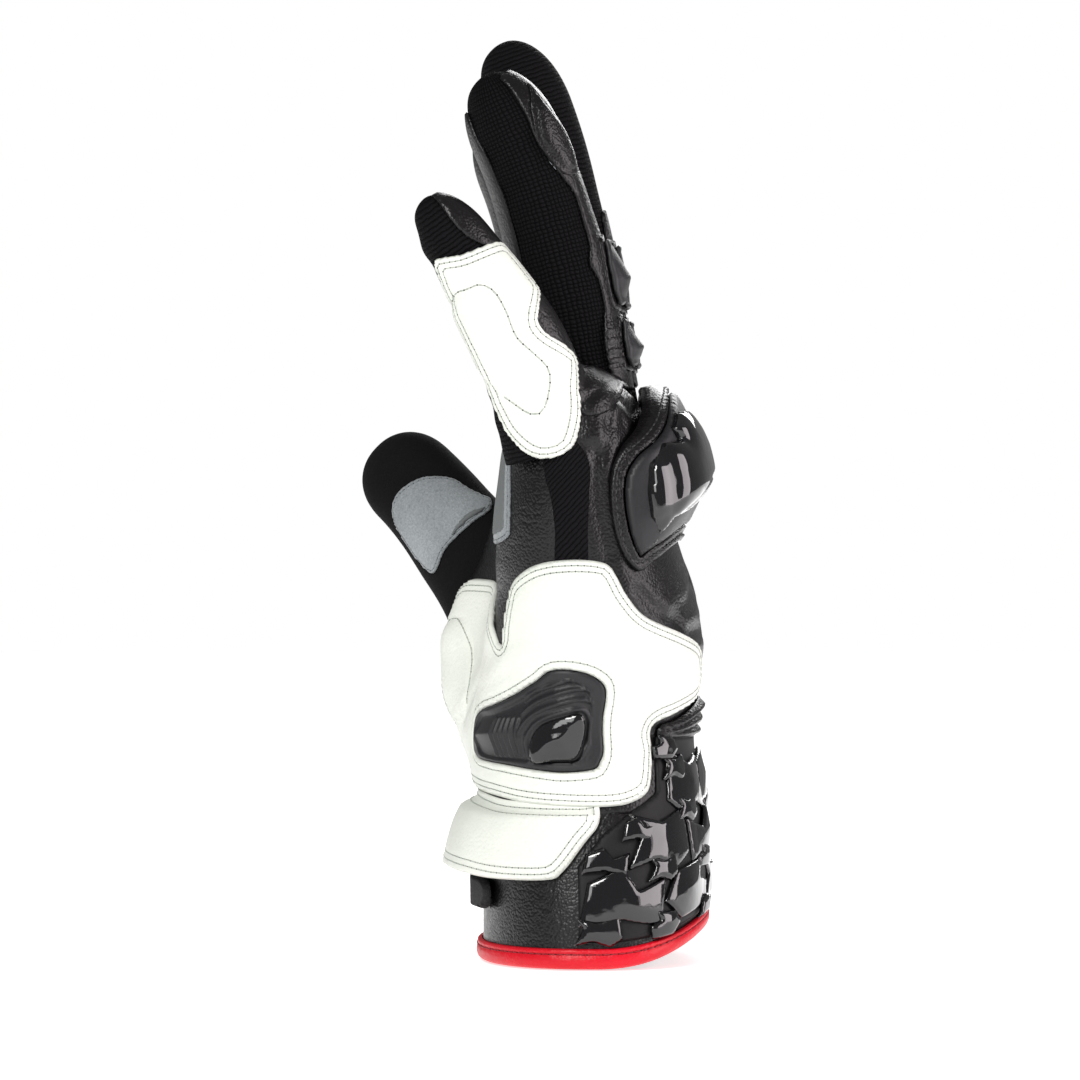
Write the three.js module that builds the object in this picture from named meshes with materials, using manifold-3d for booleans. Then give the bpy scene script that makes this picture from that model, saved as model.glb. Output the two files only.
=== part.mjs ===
// A motorcycle glove for the left hand, standing on its cuff with the fingers up.
// Millimetres. +X is the back of the hand, -Y the little finger's side, +Z runs to the fingertips.
// The origin is the centre of the cuff's mouth, where the hand goes in.
import * as THREE from 'three';
import { mergeVertices } from 'three/addons/utils/BufferGeometryUtils.js';
import Module from 'manifold-3d';

const wasm = await Module();
wasm.setup();

// Driving dimensions.
const BODY_LENGTH = 148; // the cuff's mouth to the ends of the knuckles
const PALM_WIDTH = 96; // across the hand at the knuckles, and the cuff's mouth
const CUFF_DEPTH = 59; // palm to back at the cuff's mouth
const RIM_RISE = 9; // the mouth is cut higher over the back of the hand
const RIM_DROP = 2.6; // and lower at its sides
const LITTLE_LENGTH = 80; // fingers are measured from inside the knuckles
const RING_LENGTH = 109;
const MIDDLE_LENGTH = 118;
const INDEX_LENGTH = 104;
const THUMB_LENGTH = 80.5;
const FINGER_DEPTH = 27; // palm to back
const FINGER_GAP = 0.5; // between the fingers, at their roots
const WALL = 1.8; // shell and lining together
const PANEL = 1.2; // leather laid over the shell
const KNUCKLE_RISE = 9; // the padded plate over the knuckles
const SHELL_RISE = 4.2; // the hard shells on it
const GUARD_RISE = 3.2; // the hard guards on the fingers
const SLIDER_RISE = 3.4; // the slider at the heel of the palm
const STRAP_THICK = 2.2;
const STRAP_FLARE = 8.5; // how far the strap's lower edge stands out over the palm
const HOOK_THICK = 3.4; // the fastener's hook patch
const BINDING_HEIGHT = 3.2;
const BINDING_THICK = 1.3;
const PLEAT_RISE = 1.8;
const SHARD_RISE = 1.2;
const STRAP_CURVE = 0.45; // below 1 the strap leaves the cuff at once
const SEAT = 0.3; // clearance between pieces that touch

// Sizes that follow.
const FINGER_WIDTH = PALM_WIDTH / 4 - FINGER_GAP;
const SECOND = SEAT + PANEL + SEAT; // what is sewn on a panel starts here
const DEGREE = (Math.PI * (CUFF_DEPTH + PALM_WIDTH)) / 2 / 360; // mean arc of one degree round the hand
const CLEAR = 4 * SEAT; // between the slanted edges of a piece and of the window it shows through
const WRIST = 0.245; // share along, where the cuff is sewn to the hand

const SQUARE_HAND = 2.35; // 2 is an ellipse, more is squarer
const SQUARE_FINGER = 2.3;
const HAND_SIDES = 20;
const FINGER_SIDES = 12;
const LEAST = 0.3; // the smallest half width of a fingertip's inside
const GUARD_BROAD = 1.5; // above 1 a guard is broader across its top
const DOME_ENDS = [0.1, 0.9]; // the slider's dome is cut off at its ends
const TOOL = 6; // how far a cutting block reaches into and out of the surface

// The hand. at: share of BODY_LENGTH. x, deep, cup, thenar: shares of CUFF_DEPTH. wide: share of
// PALM_WIDTH. cup hollows the palm, thenar swells the thumb's root, rim follows the slanted mouth.
const HAND_SECTIONS = [
  { at: 0, x: -0.018, deep: 0.965, wide: 1, cup: 0, thenar: 0, rim: 1 },
  { at: 0.07, x: -0.015, deep: 0.97, wide: 0.99, cup: 0, thenar: 0, rim: 0.67 },
  { at: 0.155, x: -0.02, deep: 0.97, wide: 0.95, cup: 0, thenar: 0, rim: 0.23 },
  { at: 0.245, x: -0.032, deep: 0.96, wide: 0.885, cup: 0, thenar: 0.01, rim: 0 },
  { at: 0.36, x: -0.06, deep: 0.942, wide: 0.823, cup: 0, thenar: 0.1, rim: 0 },
  { at: 0.44, x: -0.04, deep: 0.963, wide: 0.865, cup: 0.03, thenar: 0.2, rim: 0 },
  { at: 0.515, x: -0.024, deep: 0.976, wide: 0.917, cup: 0.07, thenar: 0.225, rim: 0 },
  { at: 0.595, x: -0.029, deep: 0.929, wide: 0.969, cup: 0.085, thenar: 0.19, rim: 0 },
  { at: 0.67, x: -0.056, deep: 0.868, wide: 0.99, cup: 0.085, thenar: 0.1, rim: 0 },
  { at: 0.77, x: -0.08, deep: 0.773, wide: 1, cup: 0.07, thenar: 0.025, rim: 0 },
  { at: 0.858, x: -0.083, deep: 0.678, wide: 0.99, cup: 0.03, thenar: 0, rim: 0 },
  { at: 0.92, x: -0.085, deep: 0.586, wide: 0.958, cup: 0, thenar: 0, rim: 0 },
  { at: 0.97, x: -0.088, deep: 0.43, wide: 0.89, cup: 0, thenar: 0, rim: 0 },
  { at: 1, x: -0.092, deep: 0.2, wide: 0.77, cup: 0, thenar: 0, rim: 0 },
];
const CUP = { angle: 184, spread: 22 };
const THENAR = { angle: 212, spread: 24 };

// The fingers. x: share of CUFF_DEPTH, y: of PALM_WIDTH, z: of BODY_LENGTH, deep and wide: of
// FINGER_DEPTH and FINGER_WIDTH. tilt, bend and curl turn towards the palm, splay towards the thumb.
const FINGERS = {
  little: {
    length: LITTLE_LENGTH, x: -0.136, y: -0.375, z: 0.811, deep: 1.03, wide: 0.915,
    tilt: 19, bend: 13, curl: 4, splay: -7, taper: 0.45,
  },
  ring: {
    length: RING_LENGTH, x: 0.01, y: -0.13, z: 0.807, deep: 0.89, wide: 0.98,
    tilt: 10, bend: 6, curl: 9, splay: -1.5, taper: 0.05,
  },
  middle: {
    length: MIDDLE_LENGTH, x: 0.018, y: 0.125, z: 0.809, deep: 0.95, wide: 1.02,
    tilt: 9.1, bend: 2, curl: 9, splay: 1, taper: 0.06,
  },
  index: {
    length: INDEX_LENGTH, x: 0, y: 0.375, z: 0.804, deep: 0.93, wide: 0.98,
    tilt: 10.5, bend: 4, curl: 8, splay: 5, taper: 0.06,
  },
  thumb: {
    length: THUMB_LENGTH, x: -0.268, y: 0.3, z: 0.459, deep: 1.11, wide: 1.106,
    tilt: 26.5, bend: 12, curl: 8, splay: 22, taper: 0.1,
  },
};
// A finger's sections. at: share of its length. deep, wide: shares of its own depth and width.
const FINGER_SECTIONS = [
  { at: 0, deep: 1.04, wide: 1 },
  { at: 0.33, deep: 1, wide: 0.98 },
  { at: 0.5, deep: 1.02, wide: 1 },
  { at: 0.66, deep: 0.97, wide: 0.97 },
  { at: 0.82, deep: 0.95, wide: 0.95 },
  { at: 0.92, deep: 0.83, wide: 0.85 },
  { at: 0.975, deep: 0.55, wide: 0.57 },
  { at: 1, deep: 0.14, wide: 0.16 },
];

// Outlines of what is sewn on. at: share along the limb, for the guards the ring finger's.
// from, to, angle: degrees round it, 0 at the back, 90 at the little finger's side, 180 at the palm.
// rise, flare: shares of a named height.
const LITTLE_PATCH = [
  { at: 0.09, from: 82, to: 100 },
  { at: 0.12, from: 70, to: 110 },
  { at: 0.18, from: 54, to: 120 },
  { at: 0.26, from: 42, to: 124 },
  { at: 0.35, from: 19, to: 140 },
  { at: 0.4, from: 28, to: 152 },
  { at: 0.445, from: 48, to: 156 },
  { at: 0.49, from: 57, to: 158 },
  { at: 0.52, from: 40, to: 158 },
  { at: 0.56, from: 12, to: 158 },
  { at: 0.66, from: 10, to: 154 },
  { at: 0.765, from: 16, to: 150 },
  { at: 0.785, from: 66, to: 148 },
  { at: 0.8, from: 94, to: 146 },
  { at: 0.825, from: 118, to: 142 },
];
const HEEL_PATCH = [
  { at: 0.248, from: 82, to: 118 },
  { at: 0.257, from: 70, to: 142 },
  { at: 0.278, from: 61, to: 192 },
  { at: 0.385, from: 57, to: 208 },
  { at: 0.43, from: 18, to: 213 },
  { at: 0.52, from: 22, to: 216 },
  { at: 0.56, from: 60, to: 215 },
  { at: 0.605, from: 75, to: 212 },
  { at: 0.645, from: 78, to: 206 },
  { at: 0.668, from: 86, to: 200 },
];
const HEEL_NOTCH = [
  { at: 0.52, from: 136, to: 139 },
  { at: 0.58, from: 132, to: 160 },
  { at: 0.62, from: 130, to: 174 },
  { at: 0.636, from: 127, to: 182 },
  { at: 0.642, from: 122, to: 215 },
  { at: 0.69, from: 98, to: 215 },
];
const SLIDER = [
  { at: 0.303, from: 95, to: 108 },
  { at: 0.315, from: 87, to: 128 },
  { at: 0.335, from: 85, to: 162 },
  { at: 0.4, from: 83, to: 160 },
  { at: 0.42, from: 83, to: 139 },
  { at: 0.445, from: 84, to: 120 },
  { at: 0.465, from: 90, to: 110 },
  { at: 0.48, from: 98, to: 102 },
];
const SLIDER_RIBS = { from: 118, columns: 14, rise: 0.6 };
const THUMB_PATCH = [
  { at: 0.44, from: 116, to: 136 },
  { at: 0.47, from: 80, to: 140 },
  { at: 0.49, from: 50, to: 143 },
  { at: 0.55, from: 27, to: 147 },
  { at: 0.61, from: 40, to: 146 },
  { at: 0.67, from: 48, to: 143 },
  { at: 0.725, from: 63, to: 134 },
  { at: 0.755, from: 86, to: 114 },
];
const PALM_STRIP = [
  { at: 0.7, from: 140, to: 170 },
  { at: 0.72, from: 134, to: 176 },
  { at: 0.82, from: 142, to: 170 },
  { at: 0.89, from: 147, to: 164 },
];
const FINGER_BACK = [
  { at: 0.235, from: -30, to: 30 },
  { at: 0.37, from: -37, to: 37 },
  { at: 0.52, from: -38, to: 38 },
  { at: 0.72, from: -50, to: 50 },
  { at: 0.8, from: -62, to: 62 },
  { at: 0.9, from: -60, to: 60 },
  { at: 0.965, from: -40, to: 40 },
];
// The middle and index fingers are knitted above the guards.
const SHORT_BACK = [
  { at: 0.21, from: -30, to: 30 },
  { at: 0.33, from: -36, to: 36 },
  { at: 0.47, from: -36, to: 36 },
  { at: 0.58, from: -26, to: 26 },
];
const LITTLE_BACK = [
  { at: 0.3, from: -46, to: 1 },
  { at: 0.43, from: -46, to: 2 },
  { at: 0.56, from: -46, to: -1 },
  { at: 0.765, from: -48, to: 3 },
  { at: 0.83, from: -50, to: 44 },
  { at: 0.9, from: -50, to: 44 },
  { at: 0.96, from: -36, to: 30 },
];
const FINGER_PALM = [
  { at: 0.32, from: 142, to: 218 },
  { at: 0.5, from: 136, to: 224 },
  { at: 0.7, from: 124, to: 236 },
  { at: 0.85, from: 128, to: 232 },
  { at: 0.95, from: 145, to: 215 },
];
const GUARDS = {
  lower: [
    { at: 0.25, from: -22, to: 22, rise: 0 },
    { at: 0.272, from: -29, to: 29, rise: 0.6 },
    { at: 0.293, from: -29, to: 29, rise: 1 },
    { at: 0.324, from: -27, to: 27, rise: 0.45 },
    { at: 0.363, from: -18, to: 18, rise: 0 },
  ],
  upper: [
    { at: 0.395, from: -22, to: 22, rise: 0 },
    { at: 0.428, from: -31, to: 31, rise: 0.6 },
    { at: 0.452, from: -31, to: 31, rise: 1 },
    { at: 0.495, from: -28, to: 28, rise: 0.5 },
    { at: 0.545, from: -16, to: 16, rise: 0 },
  ],
};
const GUARD_SHARES = { ring: 1, middle: 0.15, index: 0.4 }; // of GUARD_RISE
const KNUCKLES = [
  { angle: -74, from: 0.7, to: 0.8, rise: 0 },
  { angle: -66, from: 0.65, to: 0.855, rise: 0.2 },
  { angle: -52, from: 0.668, to: 0.89, rise: 0.7 },
  { angle: -35, from: 0.688, to: 0.935, rise: 0.95 },
  { angle: -16, from: 0.7, to: 0.955, rise: 0.93 },
  { angle: 0, from: 0.7, to: 0.958, rise: 1 },
  { angle: 16, from: 0.7, to: 0.955, rise: 0.93 },
  { angle: 35, from: 0.688, to: 0.935, rise: 0.95 },
  { angle: 52, from: 0.668, to: 0.89, rise: 0.7 },
  { angle: 66, from: 0.65, to: 0.855, rise: 0.2 },
  { angle: 74, from: 0.7, to: 0.8, rise: 0 },
];
// How a raised piece climbs from its wrist edge, 0, to its finger edge, 1.
const KNUCKLE_CLIMB = [
  { at: 0, rise: 0 },
  { at: 0.1, rise: 0.25 },
  { at: 0.24, rise: 0.72 },
  { at: 0.42, rise: 1 },
  { at: 0.72, rise: 0.97 },
  { at: 0.93, rise: 0.82 },
  { at: 1, rise: 0.22 },
];
const KNUCKLE_SHELL = [
  { angle: 4, from: 0.765, to: 0.885, rise: 0.8 },
  { angle: 14, from: 0.75, to: 0.9, rise: 1 },
  { angle: 35, from: 0.735, to: 0.895, rise: 0.95 },
  { angle: 50, from: 0.715, to: 0.865, rise: 0.8 },
  { angle: 60, from: 0.695, to: 0.835, rise: 0.6 },
  { angle: 66, from: 0.715, to: 0.8, rise: 0.3 },
];
const SHELL_CLIMB = [
  { at: 0, rise: 0.2 },
  { at: 0.3, rise: 0.9 },
  { at: 0.7, rise: 1 },
  { at: 1, rise: 0.2 },
];
const WRIST_PLEATS = [
  { angle: -58, from: 0.375, to: 0.388 },
  { angle: -40, from: 0.375, to: 0.42 },
  { angle: 0, from: 0.375, to: 0.43 },
  { angle: 12, from: 0.375, to: 0.425 },
  { angle: 40, from: 0.375, to: 0.395 },
  { angle: 52, from: 0.375, to: 0.384 },
];
const PLEATS = 3;
const CUFF_GUARD = [
  { at: 0.032, from: -97, to: 96 },
  { at: 0.15, from: -97, to: 96 },
  { at: 0.2, from: -92, to: 87 },
  { at: 0.24, from: -84, to: 72 },
  { at: 0.27, from: -60, to: 57 },
  { at: 0.365, from: -55, to: 53 },
];
// Rows of raised shards on the cuff guard, spread between reach degrees on both sides of the back.
const SHARD_ROWS = [
  { at: 0.095, tall: 0.075, reach: 76, count: 5 },
  { at: 0.19, tall: 0.075, reach: 57, count: 4 },
  { at: 0.285, tall: 0.08, reach: 34, count: 3 },
];
const SHARD = { span: 26, lean: 8 }; // degrees; the lean changes sides from shard to shard
const STRAP = [
  { angle: 88, from: 0.218, to: 0.236, flare: 0 },
  { angle: 93, from: 0.185, to: 0.236, flare: 0 },
  { angle: 102, from: 0.142, to: 0.236, flare: 0.02 },
  { angle: 110, from: 0.128, to: 0.236, flare: 0.08 },
  { angle: 136, from: 0.128, to: 0.238, flare: 0.5 },
  { angle: 158, from: 0.138, to: 0.246, flare: 0.9 },
  { angle: 180, from: 0.144, to: 0.252, flare: 1 },
  { angle: 202, from: 0.146, to: 0.25, flare: 0.95 },
  { angle: 222, from: 0.146, to: 0.238, flare: 0.6 },
  { angle: 240, from: 0.162, to: 0.232, flare: 0.2 },
  { angle: 248, from: 0.185, to: 0.218, flare: 0.05 },
];
const HOOK_PATCH = [
  { angle: 150, from: 0.085, to: 0.118 },
  { angle: 162, from: 0.075, to: 0.125 },
  { angle: 198, from: 0.075, to: 0.125 },
  { angle: 212, from: 0.085, to: 0.118 },
];

const lerp = THREE.MathUtils.lerp;
const smoothstep = THREE.MathUtils.smoothstep;
const radians = THREE.MathUtils.degToRad;

function mixRows(low, high, share) {
  return Object.fromEntries(Object.keys(low).map((key) => [key, lerp(low[key], high[key], share)]));
}

// The table read at a share along, between its rows.
function rowAt(rows, at) {
  const place = Math.min(Math.max(at, rows[0].at), rows.at(-1).at);
  const above = Math.max(1, rows.findIndex((row) => row.at >= place));
  const low = rows[above - 1];
  return mixRows(low, rows[above], (place - low.at) / (rows[above].at - low.at));
}

// The table read by its order: 0 at the first row, 1 at the last.
function rowAlong(rows, share) {
  const place = share * (rows.length - 1);
  const low = Math.min(Math.floor(place), rows.length - 2);
  return mixRows(rows[low], rows[low + 1], place - low);
}

// One coordinate of a rounded square.
function squared(value, power) {
  return Math.sign(value) * Math.abs(value) ** (2 / power);
}

// 1 at the swelling's own angle, fading over its spread.
function swelling(angle, { angle: middle, spread }) {
  const away = ((((angle - middle + 180) % 360) + 360) % 360) - 180;
  return Math.exp(-((away / spread) ** 2));
}

// A point on the hand, by its angle, its share along and how far it lies outside the shell.
function hand(angle, at, offset = 0) {
  const row = rowAt(HAND_SECTIONS, at);
  const turn = radians(angle);
  const back = Math.max(0, Math.cos(turn));
  const hollow = row.cup * swelling(angle, CUP) - row.thenar * swelling(angle, THENAR);
  const deep = (row.deep * CUFF_DEPTH) / 2 + offset;
  const wide = (row.wide * PALM_WIDTH) / 2 + offset;
  return new THREE.Vector3(
    (row.x + hollow) * CUFF_DEPTH + deep * squared(Math.cos(turn), SQUARE_HAND),
    -wide * squared(Math.sin(turn), SQUARE_HAND),
    at * BODY_LENGTH + row.rim * (RIM_RISE * back ** 2 - RIM_DROP) + offset * smoothstep(at, 0.9, 1),
  );
}

// The way that a finger points at a share along, and the way that its back faces.
function fingerAxes({ tilt, bend, curl, splay }, at) {
  const lean = radians(tilt + bend * smoothstep(at, 0.3, 0.6) + curl * smoothstep(at, 0.62, 0.87));
  const fan = radians(splay);
  return {
    along: new THREE.Vector3(-Math.sin(lean) * Math.cos(fan), Math.sin(fan), Math.cos(lean) * Math.cos(fan)),
    back: new THREE.Vector3(Math.cos(lean), 0, Math.sin(lean)),
  };
}

// A finger's surface, as a function of angle, share along and offset.
function fingerSurface(finger) {
  const steps = 60;
  const step = finger.length / steps;
  const root = new THREE.Vector3(finger.x * CUFF_DEPTH, finger.y * PALM_WIDTH, finger.z * BODY_LENGTH);
  const centres = [root];
  for (let i = 0; i < steps; i += 1) {
    const { along } = fingerAxes(finger, (i + 0.5) / steps);
    centres.push(centres[i].clone().addScaledVector(along, step));
  }
  return (angle, at, offset = 0) => {
    const place = Math.min(at, 1) * steps;
    const low = Math.min(Math.floor(place), steps - 1);
    const point = centres[low].clone().lerp(centres[low + 1], place - low);
    const { along, back } = fingerAxes(finger, at);
    const side = new THREE.Vector3().crossVectors(back, along);
    const row = rowAt(FINGER_SECTIONS, at);
    const slim = finger.taper * at;
    const deep = (finger.deep * FINGER_DEPTH * row.deep * (1 - slim)) / 2 + offset;
    const wide = (finger.wide * FINGER_WIDTH * row.wide * (1 - slim / 2)) / 2 + offset;
    const turn = radians(angle);
    point.addScaledVector(back, Math.max(deep, LEAST) * squared(Math.cos(turn), SQUARE_FINGER));
    point.addScaledVector(side, Math.max(wide, LEAST) * squared(Math.sin(turn), SQUARE_FINGER));
    return point.addScaledVector(along, offset * smoothstep(at, 0.9, 1));
  };
}

const HAND = { surface: hand, sections: HAND_SECTIONS, sides: HAND_SIDES };
const LIMBS = Object.fromEntries(
  Object.entries(FINGERS).map(([name, finger]) => [
    name,
    { surface: fingerSurface(finger), sections: FINGER_SECTIONS, sides: FINGER_SIDES },
  ]),
);

// A closed geometry as a solid that can be cut and joined.
function solidOf(geometry) {
  geometry.deleteAttribute('normal');
  geometry.deleteAttribute('uv');
  const merged = mergeVertices(geometry);
  return new wasm.Manifold(
    new wasm.Mesh({
      numProp: 3,
      vertProperties: new Float32Array(merged.attributes.position.array),
      triVerts: new Uint32Array(merged.index.array),
    }),
  );
}

// A limb as one solid, from one share along it to another, its surface moved out by offset.
function limbSolid(limb, offset, from = 0, to = 1) {
  const inner = limb.sections.map((row) => row.at).filter((at) => at > from && at < to);
  const rings = [from, ...inner, to].map((at) =>
    Array.from({ length: limb.sides }, (_, i) => limb.surface((360 * i) / limb.sides, at, offset)),
  );
  const points = rings.flat();
  const sides = limb.sides;
  const index = [];
  for (let ring = 0; ring < rings.length - 1; ring += 1) {
    for (let i = 0; i < sides; i += 1) {
      const a = ring * sides + i;
      const b = ring * sides + ((i + 1) % sides);
      index.push(a, b + sides, b, a, a + sides, b + sides);
    }
  }
  for (const [ring, flip] of [[0, false], [rings.length - 1, true]]) {
    const centre = points.length;
    points.push(rings[ring].reduce((sum, point) => sum.add(point), new THREE.Vector3()).divideScalar(sides));
    for (let i = 0; i < sides; i += 1) {
      const a = ring * sides + i;
      const b = ring * sides + ((i + 1) % sides);
      index.push(centre, flip ? b : a, flip ? a : b);
    }
  }
  const geometry = new THREE.BufferGeometry().setFromPoints(points);
  geometry.setIndex(index);
  return solidOf(geometry);
}

// Several limbs joined, their surfaces moved out by offset.
function form(limbs, offset) {
  return limbs.map((limb) => limbSolid(limb, offset)).reduce((sum, solid) => sum.add(solid));
}

// Rows that lie along the limb, each from one angle to another.
function lengthwise(rows) {
  return (u, v) => {
    const row = rowAlong(rows, v);
    return { angle: lerp(row.to, row.from, u), at: row.at, rise: row.rise };
  };
}

// Rows that lie round the limb, each from one share along to another.
function crosswise(rows) {
  return (u, v) => {
    const row = rowAlong(rows, 1 - u);
    return { angle: row.angle, at: lerp(row.from, row.to, v), rise: row.rise, flare: row.flare };
  };
}

// A block bent onto a limb. outline(u, v) places its grid, low and high give its two offsets there.
function bentBlock(limb, outline, across, along, low, high) {
  const block = new THREE.BoxGeometry(1, 1, 1, across, along, 1);
  const place = block.attributes.position;
  for (let i = 0; i < place.count; i += 1) {
    const u = place.getX(i) + 0.5;
    const v = place.getY(i) + 0.5;
    const spot = outline(u, v);
    const offset = place.getZ(i) > 0 ? high(spot, u, v) : low(spot, u, v);
    place.setXYZ(i, ...limb.surface(spot.angle, spot.at, offset).toArray());
  }
  return solidOf(block);
}

function cutter(limb, outline, across, along) {
  return bentBlock(limb, outline, across, along, () => -TOOL, () => TOOL);
}

// The whole glove's form with the seat's clearance: what is laid on it is cut by this.
const SEATED_FORM = form([HAND, ...Object.values(LIMBS)], SEAT);

// Leather laid over the hosts, where the outline on the limb says.
function panel(hosts, limb, outline, across, along, thick = PANEL) {
  const sheet = form(hosts, SEAT + thick).intersect(cutter(limb, outline, across, along));
  return sheet.subtract(SEATED_FORM);
}

// An outline's rows grown on every side by a length, on the hand.
function grown(rows, length) {
  const last = rows.length - 1;
  return rows.map((row, i) => ({
    at: row.at + (i === last ? length : i === 0 ? -length : 0) / BODY_LENGTH,
    from: row.from - length / DEGREE,
    to: row.to + length / DEGREE,
  }));
}

function makeHandShell() {
  const outside = limbSolid(HAND, 0, WRIST + SEAT / BODY_LENGTH, 1);
  const inside = limbSolid(HAND, -WALL, WRIST - 0.05, 1);
  const fingers = Object.values(LIMBS).map((limb) => limbSolid(limb, -WALL));
  return fingers.reduce((shell, finger) => shell.subtract(finger), outside.subtract(inside));
}

function makeCuff() {
  return limbSolid(HAND, 0, 0, WRIST).subtract(limbSolid(HAND, -WALL, -0.05, WRIST + 0.05));
}

// A channel folded over the mouth's edge.
function makeBinding() {
  const top = BINDING_HEIGHT / BODY_LENGTH;
  const bottom = -(BINDING_THICK + SEAT) / BODY_LENGTH;
  const fold = limbSolid(HAND, SEAT + BINDING_THICK, bottom, top);
  const mouth = limbSolid(HAND, -WALL - SEAT - BINDING_THICK, bottom - 0.05, top + 0.05);
  const slot = limbSolid(HAND, SEAT, -SEAT / BODY_LENGTH, top + 0.05);
  const core = limbSolid(HAND, -WALL - SEAT, -0.05, top + 0.05);
  return fold.subtract(mouth).subtract(slot.subtract(core));
}

// A finger's tube, standing on the hand and clear of its neighbour.
function makeFinger(name, neighbour) {
  const tube = limbSolid(LIMBS[name], 0).subtract(limbSolid(LIMBS[name], -WALL));
  const seated = tube.subtract(limbSolid(HAND, SEAT));
  return neighbour ? seated.subtract(limbSolid(LIMBS[neighbour], SEAT)) : seated;
}

function makeHeelPatch() {
  const patch = panel([HAND], HAND, lengthwise(HEEL_PATCH), 8, HEEL_PATCH.length - 1);
  const notch = cutter(HAND, lengthwise(HEEL_NOTCH), 6, HEEL_NOTCH.length - 1);
  const window = cutter(HAND, lengthwise(grown(SLIDER, CLEAR)), 8, SLIDER.length - 1);
  return patch.subtract(notch).subtract(window);
}

// A dome in the heel patch's window, with ribs at its palm end.
function makeSlider() {
  const top = ({ angle }, u, v) => {
    const rib = angle > SLIDER_RIBS.from && Math.round(u * SLIDER_RIBS.columns) % 2 === 1;
    const dome = Math.sin(Math.PI * u) * Math.sin(Math.PI * lerp(...DOME_ENDS, v));
    return SEAT + PANEL + SLIDER_RISE * dome + (rib ? SLIDER_RIBS.rise : 0);
  };
  const outline = lengthwise(SLIDER);
  const block = bentBlock(HAND, outline, SLIDER_RIBS.columns, SLIDER.length - 1, () => -WALL, top);
  return block.subtract(SEATED_FORM);
}

function knuckleTop({ rise }, v) {
  return SEAT + PANEL + KNUCKLE_RISE * rise * rowAt(KNUCKLE_CLIMB, v).rise;
}

// The padded plate over the knuckles, its top moved out by more.
function knuckleBlock(more) {
  const top = (spot, u, v) => knuckleTop(spot, v) + more;
  return bentBlock(HAND, crosswise(KNUCKLES), KNUCKLES.length - 1, KNUCKLE_CLIMB.length + 1, () => -WALL, top);
}

// One hard shell on the plate: side 1 is over the little finger's side, -1 over the thumb's.
function makeKnuckleShell(side) {
  const rows = KNUCKLE_SHELL.map((row) => ({ ...row, angle: side * row.angle }));
  rows.sort((a, b) => a.angle - b.angle);
  const plate = (spot) => {
    const place = KNUCKLES.findIndex((row) => row.angle >= spot.angle);
    const [low, high] = [KNUCKLES[place - 1], KNUCKLES[place]];
    const here = mixRows(low, high, (spot.angle - low.angle) / (high.angle - low.angle));
    return knuckleTop(here, (spot.at - here.from) / (here.to - here.from));
  };
  const top = (spot, u, v) => plate(spot) + SEAT + SHELL_RISE * spot.rise * rowAt(SHELL_CLIMB, v).rise;
  const block = bentBlock(HAND, crosswise(rows), rows.length - 1, 4, (spot) => plate(spot) - PANEL, top);
  return block.subtract(knuckleBlock(SEAT)).subtract(SEATED_FORM);
}

// A hard ridged guard on a finger's back, seated on its leather.
function makeGuard(name, ringRows) {
  const limb = LIMBS[name];
  const rows = ringRows.map((row) => ({ ...row, at: (row.at * RING_LENGTH) / FINGERS[name].length }));
  const height = GUARD_RISE * GUARD_SHARES[name];
  const top = (spot, u) => SECOND + PANEL / 2 + height * spot.rise * (1 - Math.abs(2 * u - 1) ** GUARD_BROAD);
  const block = bentBlock(limb, lengthwise(rows), 4, rows.length - 1, () => 0, top);
  return block.subtract(limbSolid(limb, SECOND)).subtract(SEATED_FORM);
}

function makePleats() {
  const top = (spot, u, v) => SEAT + PANEL + PLEAT_RISE * Math.sin(Math.PI * PLEATS * v) ** 2;
  const block = bentBlock(HAND, crosswise(WRIST_PLEATS), 5, PLEATS * 2, () => -WALL, top);
  return block.subtract(SEATED_FORM);
}

// A four-sided pyramid on the cuff guard.
function makeShard(angle, at, tall, lean) {
  const outline = (u, v) => ({
    angle: angle + (0.5 - u) * SHARD.span + (v - 0.5) * lean,
    at: at + (v - 0.5) * tall,
  });
  const top = (spot, u, v) => SECOND + PANEL / 2 + SHARD_RISE * (u === 0.5 && v === 0.5 ? 1 : 0);
  return bentBlock(HAND, outline, 2, 2, () => 0, top).subtract(limbSolid(HAND, SECOND));
}

// The strap lies on the cuff along its upper edge and stands away from it towards its lower one.
function makeStrap() {
  const gap = ({ flare }, v) => SEAT + STRAP_FLARE * flare * (1 - v) ** STRAP_CURVE;
  const bottom = (spot, u, v) => gap(spot, v);
  const top = (spot, u, v) => gap(spot, v) + STRAP_THICK;
  const block = bentBlock(HAND, crosswise(STRAP), STRAP.length - 1, 4, bottom, top);
  return block.subtract(SEATED_FORM);
}

const finish = (color, roughness, metalness = 0) => new THREE.MeshStandardMaterial({ color, roughness, metalness });
const MATERIALS = {
  blackLeather: finish('#1b1a1d', 0.5),
  blackMesh: finish('#141417', 0.75),
  whiteLeather: finish('#e9ece6', 0.55),
  suede: finish('#7f878b', 0.9),
  rubber: finish('#242427', 0.6),
  gloss: finish('#0c0c0f', 0.12),
  redLeather: finish('#d5152a', 0.45),
};

const glove = new THREE.Group();

function add(name, solid, material) {
  const { numProp, vertProperties, triVerts } = solid.getMesh();
  const points = new THREE.InterleavedBuffer(new Float32Array(vertProperties), numProp);
  const geometry = new THREE.BufferGeometry();
  geometry.setAttribute('position', new THREE.InterleavedBufferAttribute(points, 3, 0));
  geometry.setIndex(new THREE.BufferAttribute(new Uint32Array(triVerts), 1));
  const mesh = new THREE.Mesh(geometry, material);
  mesh.name = name;
  glove.add(mesh);
}

add('hand_shell', makeHandShell(), MATERIALS.blackMesh);
add('cuff_wall', makeCuff(), MATERIALS.blackLeather);
add('cuff_binding', makeBinding(), MATERIALS.redLeather);

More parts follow.
